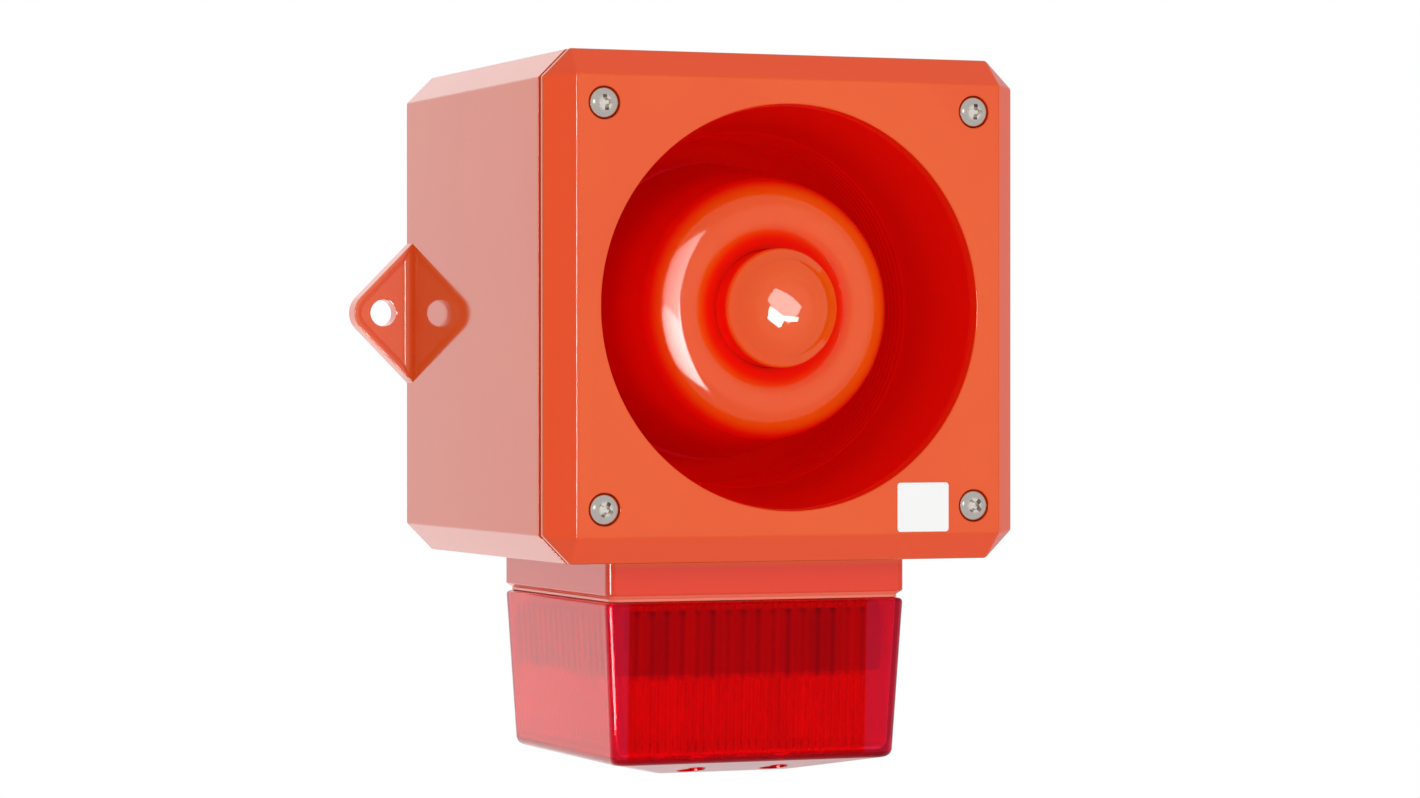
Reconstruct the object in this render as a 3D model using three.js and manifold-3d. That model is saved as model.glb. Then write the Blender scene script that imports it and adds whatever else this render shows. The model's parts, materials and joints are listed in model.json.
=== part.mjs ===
// A wall-mounted alarm: a square sounder box with a re-entrant horn in its lid, and a strobe under it.
// Millimetres. X is right seen from the front, +Y runs into the wall, +Z is up.
// The origin is the centre of the box's back face, so the front of the lid is at -DEPTH.
import * as THREE from 'three';
import { ConvexGeometry } from 'three/addons/geometries/ConvexGeometry.js';
import { mergeVertices } from 'three/addons/utils/BufferGeometryUtils.js';
import Module from 'manifold-3d';

const wasm = await Module();
wasm.setup();

// Box and lid
const SIZE = 160;
const DEPTH = 147;
const CORNER = 9;
const WALL = 3.5;
const BACK_WALL = 4;
const LID_BEVEL_INSET = 8.35;
const LID_BEVEL_DEPTH = 8.6;
const LID_BAND = 2.1;
const LID_FRONT_WALL = 4;
const LID_INNER_STEP = 0.65;
const JOINT_GAP = 2.1;
const GASKET_INSET = 1.8;

// Clearances: SEAT between faces that rest on each other, RUN between pieces that move or pass through
const SEAT = 0.1;
const RUN = 0.3;

// How far a cutting solid runs past what it cuts, and joined solids run into each other
const PAST = 1;

// Lid screws, and the pillars and webs that take them
const SCREW_INSET = 17.2;
const COVER_SCREW_R = 2.5;
const COVER_HEAD_R = 4.8;
const COVER_HEAD_H = 3.2;
const COVER_SCREW_LENGTH = 21.4;
const COVER_HOLE_DEPTH = 30;
const RECESS_R = 5.3;
const RECESS_DEPTH = 1.9;
const PILLAR_R = 6.5;
const WEB_THICKNESS = 3;
const WEB_SETBACK = 2;

// Wall lugs
const LUG_THICKNESS = 7.2;
const LUG_ROOT_HALF = 23.5;
const LUG_TIP_R = 7.5;
const LUG_HOLE_R = 4.5;
const LUG_HOLE_OUT = 10;
const LUG_RIM = 2.3;
const LUG_PANEL_DEPTH = 1;

// Cable entries on the right side, and the plugs that close them
const ENTRY_R = 10;
const ENTRY_PITCH = 36;
const ENTRY_FROM_WALL = 36;
const ENTRY_FROM_FLOOR = 34;
const ENTRY_BOSS_WALL = 3.4;
const ENTRY_BOSS_LENGTH = 6;
const PLUG_FLANGE_R = 13;
const PLUG_FLANGE_H = 4;
const PLUG_WALL = 2.5;

// Horn bell, by radius and by distance behind the lid's front
const MOUTH_R = 63.85;
const MOUTH_STEP = 0.4;
const BELL_FLARE = 6.25;
const BELL_FLARE_POWER = 1.35;
const BELL_WAIST_AT = 46;
const BELL_DEPTH = 84;
const BELL_FILLET = 12;
const BELL_WALL = 2.8;
const BELL_FLANGE_W = 6.55;
const BELL_FLANGE_H = 3;
const BELL_BORE_GAP = 2;

// Throat tube and the hub in its mouth
const THROAT_R = 9;
const THROAT_MOUTH_R = 13;
const THROAT_WALL = 2;
const THROAT_ROOT = 1;
const THROAT_LENGTH = 41;
const THROAT_FLANGE_H = 3;
const HUB_R = 5;
const HUB_ROOT = 10;
const VANE_COUNT = 3;
const VANE_THICKNESS = 2;
const VANE_LENGTH = 9;

// Reflector cup and its nose
const RING_R = 30;
const RING_TUBE_R = 12;
const RING_AT = 25.5;
const CUP_GAP = 8.1;
const CUP_RIM_AT = 72;
const CUP_RIM_BREAK = 0.6;
const CUP_WALL = 2.5;
const CUP_DISC_AT = 22;
const NOSE_R = 18.9;
const NOSE_TIP_AT = 2.2;
const NOSE_EDGE_AT = 9.2;
const NOSE_EDGE_R = 2.2;
const NOSE_WALL = 2;
const NOSE_CROWN_WALL = 2.4;
const HUB_SCREW_R = 2.5;
const HUB_SCREW_HEAD_R = 4.5;
const HUB_SCREW_HEAD_H = 3.2;
const HUB_SCREW_LENGTH = 16;

// Driver
const DRIVER_PLATE_H = 6;
const DRIVER_PLATE_MARGIN = 5;
const DRIVER_BOLT_GAP = 0.9;
const DRIVER_SCREW_R = 2;
const DRIVER_HEAD_R = 3.5;
const DRIVER_HEAD_H = 2.6;
const DRIVER_SCREW_SHORT = 0.8;
const MAGNET_R = 26;
const MAGNET_H = 14;
const MAGNET_BORE_R = 17;
const TOP_PLATE_H = 4;
const YOKE_H = 4.5;
const POLE_GAP = 0.7;
const COIL_R = 12.9;
const COIL_WALL = 0.6;
const COIL_H = 5.6;
const COIL_GAP = 0.6;
const CAN_WALL = 1.8;
const CAN_GAP = 0.8;
const DIAPHRAGM_R = 18.4;
const DIAPHRAGM_WALL = 0.5;
const DIAPHRAGM_RISE = 2.2;
const DIAPHRAGM_POCKET = 4;

// Control board and what is on it; a size of three is its width, its depth off the board and its height
const BOARD_THICKNESS = 1.6;
const BOARD_SIDE_GAP = 2.3;
const BOARD_FLOOR_GAP = 5.5;
const BOARD_HEIGHT = 33;
const BOARD_STANDOFF = 6;
const STANDOFF_R = 3.2;
const BOARD_SCREW_R = 1.5;
const BOARD_SCREW_INSET = 5;
const BOARD_HEAD_R = 2.8;
const BOARD_HEAD_H = 2;
const ROW_END_GAP = 0.7;
const TERMINAL_PITCH = 5;
const TERMINAL_DEEP = 11;
const TERMINAL_TALL = 10;
const TERMINAL_WELL_R = 1.7;
const TERMINAL_WELL_DEPTH = 3;
const SUPPLY_WAYS = 6;
const BEACON_WAYS = 3;
const PART_EDGE_GAP = 1;
const TRANSFORMER = [22, 20, 18];
const BOBBIN_R = 8;
const BOBBIN_PROUD = 3;
const FILTER_CAN_R = 6.8;
const FILTER_CAN_LENGTH = 22;
const FILTER_CAN_EDGE = 0.7;
const SLIDER_COUNT = 4;
const SLIDER_PITCH = 2.9;
const SLIDER_TRAVEL = 2;
const SLIDER_WIDTH = 1.2;
const SLIDER_LENGTH = 1.6;
const SLIDER_PROUD = 0.6;
const SLOT_DEPTH = 2;
const TONE_SWITCH = [14, 4.2, 8];
const SWITCH_EDGE_GAP = 3;
const TRIMMER = [7, 5, 7];
const ROTOR_R = 2.5;
const ROTOR_PROUD = 0.8;
const ROTOR_SLOT = 0.8;
const WELL_DEPTH = 1.6;

// Beacon base
const BASE_HALF = 51.4;
const BASE_DEPTH = 101.1;
const BASE_FROM_WALL = 18.2;
const BASE_HEIGHT = 10.9;
const BASE_SHOULDER = 1.2;
const BASE_LIP_INSET = 1.6;
const BASE_LIP_HEIGHT = 1.5;
const BASE_WALL = 2.5;
const BASE_CEILING = 3.5;
const BASE_CORNER_R = 3;
const BASE_INNER_R = 2;
const BASE_SCREW_SIDE = 13.4;
const BASE_SCREW_INSET = 13.8;
const BASE_SCREW_R = 2;
const BASE_SCREW_LENGTH = 10;
const BASE_HEAD_R = 3.8;
const BASE_HEAD_H = 2.6;
const BASE_BOSS_R = 4.5;
const BASE_BOSS_LENGTH = 7;
const WIRE_HOLE_R = 6;
const BUSH_BORE_R = 3;
const BUSH_FLANGE = 2;
const BUSH_PROUD = 1.5;

// Lens
const LENS_GAP = 0.8;
const LENS_WALL = 2.6;
const LENS_TOP_CHAMFER = 1.5;
const LENS_HEIGHT = 52;
const LENS_TAPER = 2.9;
const LENS_TAPER_Y = 2.05;
const LENS_EDGE_R = 2.5;
const LENS_CORNER_R = 3.5;
const LENS_FOOT_DROP = 5.1;
const LENS_FOOT_HALF = 23;
const LENS_FOOT_INSET = 30;
const LENS_SCREW_X = 14.4;
const LENS_SCREW_INSET = 22.8;
const LENS_POCKET_R = 4.7;
const LENS_POCKET_DEPTH = 6.6;
const LENS_COLUMN_R = 6;
const LENS_COLUMN_SEAT = 2.4;
const LENS_SCREW_R = 2;
const LENS_SCREW_BITE = 12;
const LENS_HEAD_R = 3.8;
const LENS_HEAD_H = 2.6;
const POST_R = 4.2;
const POST_LENGTH = 33;
const POST_HOLE_DEPTH = 14;
const SEAL_INSET = 2;
const SEAL_WIDTH = 1.8;

// Strobe board and what is under it
const STROBE_MARGIN = 9;
const STROBE_DROP = 12.5;
const STROBE_SCREW_INSET = 4.4;
const STROBE_SCREW_LENGTH = 8;
const STROBE_BOSS_R = 3.5;
const SHROUD_WALL = 1.8;
const SHROUD_HEIGHT = 21.5;
const SHROUD_GAP = 0.5;
const SHROUD_RISE = 1;
const TUBE_R = 2.5;
const TUBE_BEND_R = 6;
const TUBE_REACH = 26;
const HOLDER = [28, 14, 10];
const HOLDER_HOLE_DEPTH = 4;
const STROBE_CAN_R = 8;
const STROBE_CAN_LENGTH = 36;
const STROBE_CAN_SIDE = 10;
const TRIGGER_R = 5.5;
const TRIGGER_LENGTH = 12;
const TRIGGER_SIDE = 15.4;
const TRIGGER_BACK = 20;

// Label, by its gaps to the right and lower edges of the lid's flat front
const LABEL_WIDTH = 17.8;
const LABEL_HEIGHT = 15.6;
const LABEL_THICKNESS = 0.25;
const LABEL_SIDE_GAP = 17.85;
const LABEL_LOWER_GAP = 0.75;

// Places worked out from the sizes above
const HALF = SIZE / 2;
const FRONT = -DEPTH;
const FLAT_HALF = HALF - LID_BEVEL_INSET;
const BEVEL_Y = FRONT + LID_BEVEL_DEPTH;
const LID_REAR_Y = BEVEL_Y + LID_BAND;
const RIM_Y = LID_REAR_Y + JOINT_GAP;
const SCREW_AT = HALF - SCREW_INSET;
const ENTRY_Z = -HALF + ENTRY_FROM_FLOOR;
const ENTRY_BOSS_X = HALF - WALL - ENTRY_BOSS_LENGTH;
const BELL_MOUTH_R = MOUTH_R - MOUTH_STEP;
const BELL_WAIST_R = BELL_MOUTH_R - BELL_FLARE;
const BELL_FLANGE_R = BELL_MOUTH_R + BELL_FLANGE_W;
const BELL_BACK_Y = FRONT + BELL_DEPTH + BELL_WALL;
const CUP_RIM_R = BELL_WAIST_R - CUP_GAP;
const POLE_R = COIL_R - POLE_GAP;
const CAN_R = MAGNET_R + CAN_GAP + CAN_WALL;
const DRIVER_BOLT_R = CAN_R + DRIVER_HEAD_R + DRIVER_BOLT_GAP;
const DRIVER_PLATE_R = DRIVER_BOLT_R + DRIVER_PLATE_MARGIN;
const BOARD_HALF_WIDTH = SCREW_AT - PILLAR_R - BOARD_SIDE_GAP;
const BOARD_LOW = -HALF + WALL + BOARD_FLOOR_GAP;
const BOARD_HIGH = BOARD_LOW + BOARD_HEIGHT;
const BOARD_SCREW_X = BOARD_HALF_WIDTH - BOARD_SCREW_INSET;
const STANDOFF_Y = -BACK_WALL - BOARD_STANDOFF;
const BASE_REAR = -BASE_FROM_WALL;
const BASE_FRONT = BASE_REAR - BASE_DEPTH;
const BASE_MID_Y = (BASE_FRONT + BASE_REAR) / 2;
const BASE_HALF_Y = BASE_DEPTH / 2;
const BASE_SCREW_X = BASE_HALF - BASE_SCREW_SIDE;
const BASE_TOP = -HALF - SEAT;
const BASE_SHOULDER_Z = -HALF - BASE_HEIGHT;
const BASE_LIP_Z = BASE_SHOULDER_Z - BASE_LIP_HEIGHT;
const CEILING_Z = BASE_TOP - BASE_CEILING;
const POST_END_Z = CEILING_Z - POST_LENGTH;
const STROBE_HALF_X = BASE_HALF - STROBE_MARGIN;
const STROBE_HALF_Y = BASE_HALF_Y - STROBE_MARGIN;
const STROBE_SCREW_X = STROBE_HALF_X - STROBE_SCREW_INSET;
const LENS_TOP = BASE_LIP_Z - LENS_GAP;
const LENS_LOW = LENS_TOP - LENS_HEIGHT;
const LENS_FOOT_Z = LENS_LOW - LENS_FOOT_DROP;
const LABEL_X = FLAT_HALF - LABEL_SIDE_GAP - LABEL_WIDTH / 2;
const LABEL_Z = -FLAT_HALF + LABEL_LOWER_GAP + LABEL_HEIGHT / 2;

const RED = 0xe25430;
const DEEP_RED = 0xd9361c;
const STEEL = 0xc9c8c4;
const BLACK = 0x1d1d1f;

const root = new THREE.Group();

// A plain material for one piece.
function finish(color, roughness = 0.4, metalness = 0) {
  return new THREE.MeshStandardMaterial({ color, roughness, metalness });
}

const plasticRed = () => finish(RED, 0.35);
const plasticDeep = () => finish(DEEP_RED, 0.3);
const plasticBlack = () => finish(BLACK, 0.5);
const steel = () => finish(STEEL, 0.3, 1);
const boardGreen = () => finish(0x1f6b3a, 0.5);

// Adds one named piece to the model.
function add(name, geometry, material, x = 0, y = 0, z = 0) {
  const mesh = new THREE.Mesh(geometry, material);
  mesh.name = name;
  mesh.position.set(x, y, z);
  root.add(mesh);
  return mesh;
}

// Welds a geometry, drops slivers and turns it so that its faces point out.
function weld(geometry) {
  const bare = geometry.clone();
  bare.deleteAttribute('normal');
  bare.deleteAttribute('uv');
  const merged = mergeVertices(bare, 1e-4);
  const p = merged.attributes.position;
  const index = merged.index.array;
  const kept = [];
  let volume = 0;
  const a = new THREE.Vector3();
  const b = new THREE.Vector3();
  const c = new THREE.Vector3();
  for (let i = 0; i < index.length; i += 3) {
    const [u, v, w] = [index[i], index[i + 1], index[i + 2]];
    if (u === v || v === w || w === u) continue;
    kept.push(u, v, w);
    a.fromBufferAttribute(p, u);
    b.fromBufferAttribute(p, v);
    c.fromBufferAttribute(p, w);
    volume += a.dot(b.cross(c));
  }
  if (volume < 0) kept.reverse();
  merged.setIndex(kept);
  return merged;
}

function toSolid(geometry) {
  const merged = weld(geometry);
  return new wasm.Manifold(new wasm.Mesh({
    numProp: 3,
    vertProperties: new Float32Array(merged.attributes.position.array),
    triVerts: new Uint32Array(merged.index.array),
  }));
}

function toGeometry(solid) {
  const mesh = solid.getMesh();
  const geometry = new THREE.BufferGeometry();
  geometry.setAttribute('position', new THREE.BufferAttribute(mesh.vertProperties, 3));
  geometry.setIndex(new THREE.BufferAttribute(mesh.triVerts, 1));
  return geometry;
}

// Joins the geometries in the first list and cuts those in the second out of them.
function combine(joined, cut = []) {
  let solid = joined.map(toSolid).reduce((sum, next) => sum.add(next));
  for (const tool of cut) solid = solid.subtract(toSolid(tool));
  return toGeometry(solid);
}

// A box given by its lowest and highest corners.
function block(low, high) {
  const size = high.map((v, i) => v - low[i]);
  const middle = high.map((v, i) => (v + low[i]) / 2);
  return new THREE.BoxGeometry(...size).translate(...middle);
}

// A cylinder along one axis, between two places on it, through a point of the other two.
function rod(axis, radius, from, to, u, v, sides = 20) {
  const geometry = new THREE.CylinderGeometry(radius, radius, Math.abs(to - from), sides);
  const middle = (from + to) / 2;
  if (axis === 'x') return geometry.rotateZ(Math.PI / 2).translate(middle, u, v);
  if (axis === 'z') return geometry.rotateX(Math.PI / 2).translate(u, v, middle);
  return geometry.translate(u, middle, v);
}

// A shape drawn in X and Z, carried along Y from one place to another.
function slab(shape, fromY, toY, curveSegments = 8) {
  const settings = { depth: Math.abs(toY - fromY), bevelEnabled: false, curveSegments };
  return new THREE.ExtrudeGeometry(shape, settings)
    .rotateX(Math.PI / 2)
    .translate(0, Math.max(fromY, toY), 0);
}

// A profile of [radius, y] points turned about the Y axis. An open one starts and ends on the axis.
function turned(profile, segments = 48, closed = false) {
  const points = profile.map(([r, y]) => new THREE.Vector2(r, y));
  if (closed) points.push(points[0].clone());
  return weld(new THREE.LatheGeometry(points, segments));
}

// The chamfered square outline of the box, drawn in by an even distance.
function outline(inset) {
  const half = HALF - inset;
  const leg = CORNER - inset * (2 - Math.SQRT2);
  const flat = half - leg;
  const corners = [
    [half, -flat], [half, flat], [flat, half], [-flat, half],
    [-half, flat], [-half, -flat], [-flat, -half], [flat, -half],
  ];
  return corners;
}

function shapeOf(corners) {
  return new THREE.Shape(corners.map(([x, z]) => new THREE.Vector2(x, z)));
}

// The solid between an outline at one or more depths and a sharp square nearer the front.
function bevelled(levels, squareHalf, squareY) {
  const points = [];
  for (const [inset, y] of levels) {
    for (const [x, z] of outline(inset)) points.push(new THREE.Vector3(x, y, z));
  }
  for (const x of [-squareHalf, squareHalf]) {
    for (const z of [-squareHalf, squareHalf]) points.push(new THREE.Vector3(x, squareY, z));
  }
  return new ConvexGeometry(points);
}

const arc = (cu, cv, r, from, to, steps) => Array.from({ length: steps + 1 }, (_, i) => {
  const t = from + (to - from) * i / steps;
  return [cu + r * Math.cos(t), cv + r * Math.sin(t)];
});

// A pan head screw along Y with its head towards -Y. The head's under face is at seatY.
function panScrew(shankR, length, headR, headH, crossed) {
  const profile = [
    [0, -headH], [headR * 0.7, -headH * 0.85], [headR, -headH * 0.35], [headR, 0], [shankR, 0],
    [shankR, length], [0, length],
  ];
  const body = turned(profile, 12);
  if (!crossed) return body;
  const slotHalf = headR * 0.13;
  const reach = headR * 0.55;
  const floor = -headH * 0.45;
  const top = -headH - PAST;
  const slots = [
    block([-reach, top, -slotHalf], [reach, floor, slotHalf]),
    block([-slotHalf, top, -reach], [slotHalf, floor, reach]),
  ];
  return combine([body], slots);
}

// One lug outline on the +X side from a root line outwards, drawn in by an even distance.
function lugShape(inset, rootX) {
  const tipR = LUG_TIP_R - inset;
  const tipX = HALF + LUG_ROOT_HALF - LUG_TIP_R * Math.SQRT2;
  const rootHalf = Math.min(LUG_ROOT_HALF - inset, tipX + tipR * Math.SQRT2 - rootX);
  const shape = new THREE.Shape();
  shape.moveTo(rootX, -rootHalf);
  if (rootX < HALF) shape.lineTo(HALF, -rootHalf);
  shape.absarc(tipX, 0, tipR, -Math.PI / 4, Math.PI / 4, false);
  if (rootX < HALF) shape.lineTo(HALF, rootHalf);
  shape.lineTo(rootX, rootHalf);
  return shape;
}

// A lug slab on the right side, or turned half round to the left one.
function lugSlab(shape, fromY, toY, side) {
  const geometry = slab(shape, fromY, toY);
  return side > 0 ? geometry : geometry.rotateZ(Math.PI).translate(0, fromY + toY, 0);
}

function buildHousing() {
  const joined = [];
  const cuts = [];
  const innerWall = HALF - WALL + WALL / 4;
  const halfWeb = WEB_THICKNESS / 2;
  const webFront = RIM_Y + WEB_SETBACK;
  const webBack = -BACK_WALL + PAST;
  for (const [x, z] of coverScrewPlaces()) {
    const wallX = Math.sign(x) * innerWall;
    const wallZ = Math.sign(z) * innerWall;
    joined.push(rod('y', PILLAR_R, webBack, RIM_Y, x, z, 12));
    joined.push(block([Math.min(x, wallX), webFront, z - halfWeb], [Math.max(x, wallX), webBack, z + halfWeb]));
    joined.push(block([x - halfWeb, webFront, Math.min(z, wallZ)], [x + halfWeb, webBack, Math.max(z, wallZ)]));
    cuts.push(rod('y', COVER_SCREW_R + RUN, RIM_Y - PAST, RIM_Y + COVER_HOLE_DEPTH, x, z, 12));
  }
  const panelY = -LUG_THICKNESS + LUG_PANEL_DEPTH;
  for (const side of [-1, 1]) {
    joined.push(lugSlab(lugShape(0, HALF - WALL / 2), 0, -LUG_THICKNESS, side));
    cuts.push(lugSlab(lugShape(LUG_RIM, HALF + LUG_RIM), panelY, -LUG_THICKNESS - PAST, side));
    cuts.push(rod('y', LUG_HOLE_R, -LUG_THICKNESS - PAST, PAST, side * (HALF + LUG_HOLE_OUT), 0, 20));
  }
  for (const y of entryPlaces()) {
    joined.push(rod('x', ENTRY_R + RUN + ENTRY_BOSS_WALL, ENTRY_BOSS_X, HALF - PAST, y, ENTRY_Z, 20));
    cuts.push(rod('x', ENTRY_R + RUN, ENTRY_BOSS_X - PAST, HALF + PAST, y, ENTRY_Z, 20));
  }
  const floorCut = [-HALF - PAST, -HALF + WALL + PAST];
  for (const [x, y] of basePlaces()) cuts.push(rod('z', BASE_SCREW_R + RUN, ...floorCut, x, y, 10));
  cuts.push(rod('z', WIRE_HOLE_R, ...floorCut, 0, BASE_MID_Y, 16));
  for (const [x, z] of standoffPlaces()) {
    joined.push(rod('y', STANDOFF_R, webBack, STANDOFF_Y, x, z, 10));
    cuts.push(rod('y', BOARD_SCREW_R + RUN, STANDOFF_Y - PAST, -BACK_WALL, x, z, 8));
  }
  const box = slab(shapeOf(outline(0)), 0, RIM_Y);
  const cavity = slab(shapeOf(outline(WALL)), -BACK_WALL, RIM_Y - PAST);
  add('rear_housing', combine([combine([box], [cavity]), ...joined], cuts), plasticRed());
}

function entryPlaces() {
  return [-ENTRY_FROM_WALL, -ENTRY_FROM_WALL - ENTRY_PITCH];
}

// Four places in X and Z, or X and Y, the same distance each side of a middle.
function fourPlaces(reachU, middleV, reachV) {
  return [-1, 1].flatMap((su) => [-1, 1].map((sv) => [su * reachU, middleV + sv * reachV]));
}

const coverScrewPlaces = () => fourPlaces(SCREW_AT, 0, SCREW_AT);
const basePlaces = () => fourPlaces(BASE_SCREW_X, BASE_MID_Y, BASE_HALF_Y - BASE_SCREW_INSET);
const lensScrewPlaces = () => fourPlaces(LENS_SCREW_X, BASE_MID_Y, BASE_HALF_Y - LENS_SCREW_INSET);
const boardMiddleZ = () => (BOARD_LOW + BOARD_HIGH) / 2;
const standoffPlaces = () => fourPlaces(BOARD_SCREW_X, boardMiddleZ(), BOARD_HEIGHT / 2 - BOARD_SCREW_INSET);

function buildEntryPlugs() {
  entryPlaces().forEach((y, i) => {
    const flange = rod('x', PLUG_FLANGE_R, HALF + SEAT, HALF + PLUG_FLANGE_H, y, ENTRY_Z, 6);
    const stem = rod('x', ENTRY_R, ENTRY_BOSS_X, HALF + PAST, y, ENTRY_Z, 20);
    const bore = rod('x', ENTRY_R - PLUG_WALL, ENTRY_BOSS_X - PAST, HALF, y, ENTRY_Z, 16);
    const geometry = combine([flange, stem], [bore]);
    add(['entry_plug_rear', 'entry_plug_front'][i], geometry, plasticBlack());
  });
}

function buildCover() {
  const outer = bevelled([[0, LID_REAR_Y], [0, BEVEL_Y]], FLAT_HALF, FRONT);
  const innerHalf = FLAT_HALF - LID_INNER_STEP;
  const hollow = bevelled([[WALL, LID_REAR_Y + PAST], [WALL, BEVEL_Y]], innerHalf, FRONT + LID_FRONT_WALL);
  const joined = [combine([outer], [hollow])];
  const cuts = [rod('y', MOUTH_R, FRONT - PAST, FRONT + LID_FRONT_WALL + PAST, 0, 0, 48)];
  for (const [x, z] of coverScrewPlaces()) {
    joined.push(rod('y', PILLAR_R, FRONT + PAST, RIM_Y - RUN, x, z, 12));
    cuts.push(rod('y', RECESS_R, FRONT - PAST, FRONT + RECESS_DEPTH, x, z, 20));
    cuts.push(rod('y', COVER_SCREW_R + RUN, FRONT, RIM_Y, x, z, 12));
  }
  add('front_cover', combine(joined, cuts), plasticRed());
  const ring = slab(shapeOf(outline(GASKET_INSET)), RIM_Y - SEAT, LID_REAR_Y + SEAT);
  const hole = slab(shapeOf(outline(WALL)), RIM_Y + PAST, LID_REAR_Y - PAST);
  add('cover_gasket', combine([ring], [hole]), plasticBlack());
}

// The screws are left at odd angles, as a hand leaves them.
function buildCoverScrews() {
  const firstTurn = 0.5;
  const turnStep = 0.9;
  coverScrewPlaces().forEach(([x, z], i) => {
    const screw = panScrew(COVER_SCREW_R, COVER_SCREW_LENGTH, COVER_HEAD_R, COVER_HEAD_H, true);
    screw.rotateY(firstTurn + i * turnStep);
    add(`cover_screw_${i + 1}`, screw, steel(), x, FRONT + RECESS_DEPTH - SEAT, z);
  });
}

function buildLabel() {
  const low = [LABEL_X - LABEL_WIDTH / 2, FRONT - SEAT - LABEL_THICKNESS, LABEL_Z - LABEL_HEIGHT / 2];
  const high = [LABEL_X + LABEL_WIDTH / 2, FRONT - SEAT, LABEL_Z + LABEL_HEIGHT / 2];
  add('blank_label', block(low, high), finish(0xf4f4f2, 0.4));
}

// The bell's inner radius at a distance behind the front: a flare that runs into a straight waist.
function bellRadius(d) {
  const t = Math.max(0, 1 - (d - LID_FRONT_WALL) / (BELL_WAIST_AT - LID_FRONT_WALL));
  return BELL_WAIST_R + BELL_FLARE * t ** BELL_FLARE_POWER;
}

function buildBell() {
  const start = LID_FRONT_WALL + SEAT;
  const places = [start, 15, 29, BELL_WAIST_AT];
  const fillet = Math.min(BELL_FILLET, BELL_WAIST_R - DRIVER_PLATE_R - RUN);
  const filletR = BELL_WAIST_R - fillet;
  const filletY = FRONT + BELL_DEPTH - fillet;
  const inner = places.map((d) => [bellRadius(d), FRONT + d]);
  const innerArc = arc(filletR, filletY, fillet, 0, Math.PI / 2, 3);
  const outerArc = arc(filletR, filletY, fillet + BELL_WALL, Math.PI / 2, 0, 3);
  const outer = places.slice(1).reverse().map((d) => [bellRadius(d) + BELL_WALL, FRONT + d]);
  const bore = THROAT_R + BELL_BORE_GAP;
  const profile = [
    ...inner, ...innerArc, [bore, FRONT + BELL_DEPTH], [bore, BELL_BACK_Y], ...outerArc, ...outer,
    [bellRadius(start + BELL_FLANGE_H) + BELL_WALL, FRONT + start + BELL_FLANGE_H],
    [BELL_FLANGE_R, FRONT + start + BELL_FLANGE_H], [BELL_FLANGE_R, FRONT + start],
  ];
  const holes = driverBoltPlaces().map(([x, z]) => {
    return rod('y', DRIVER_SCREW_R + RUN, FRONT + BELL_DEPTH - PAST, BELL_BACK_Y + PAST, x, z, 10);
  });
  add('horn_bell', combine([turned(profile, 40, true)], holes), plasticDeep());
}

function driverBoltPlaces() {
  return [30, 150, 270].map((deg) => {
    const t = deg * Math.PI / 180;
    return [DRIVER_BOLT_R * Math.cos(t), DRIVER_BOLT_R * Math.sin(t)];
  });
}

function buildThroat() {
  const back = FRONT + BELL_DEPTH - SEAT;
  const mouth = back - THROAT_LENGTH;
  const flangeFront = back - THROAT_FLANGE_H;
  const profile = [
    [THROAT_R, back], [THROAT_MOUTH_R, mouth], [THROAT_MOUTH_R + THROAT_WALL, mouth],
    [THROAT_R + THROAT_WALL + THROAT_ROOT, flangeFront], [DRIVER_PLATE_R, flangeFront], [DRIVER_PLATE_R, back],
  ];
  const hubFront = FRONT + CUP_DISC_AT + CUP_WALL + SEAT;
  const joined = [turned(profile, 28, true), rod('y', HUB_R, hubFront, mouth + HUB_ROOT, 0, 0, 14)];
  for (let i = 0; i < VANE_COUNT; i += 1) {
    const vane = block(
      [0, mouth, -VANE_THICKNESS / 2],
      [THROAT_MOUTH_R + THROAT_WALL / 2, mouth + VANE_LENGTH, VANE_THICKNESS / 2],
    );
    joined.push(vane.rotateY(Math.PI / 2 + i * 2 * Math.PI / VANE_COUNT));
  }
  const cuts = [rod('y', HUB_SCREW_R + RUN, hubFront - PAST, hubFront + HUB_SCREW_LENGTH, 0, 0, 14)];
  for (const [x, z] of driverBoltPlaces()) {
    cuts.push(rod('y', DRIVER_SCREW_R + RUN, flangeFront - PAST, back + PAST, x, z, 10));
  }
  add('horn_throat', combine(joined, cuts), plasticDeep());
}

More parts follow.
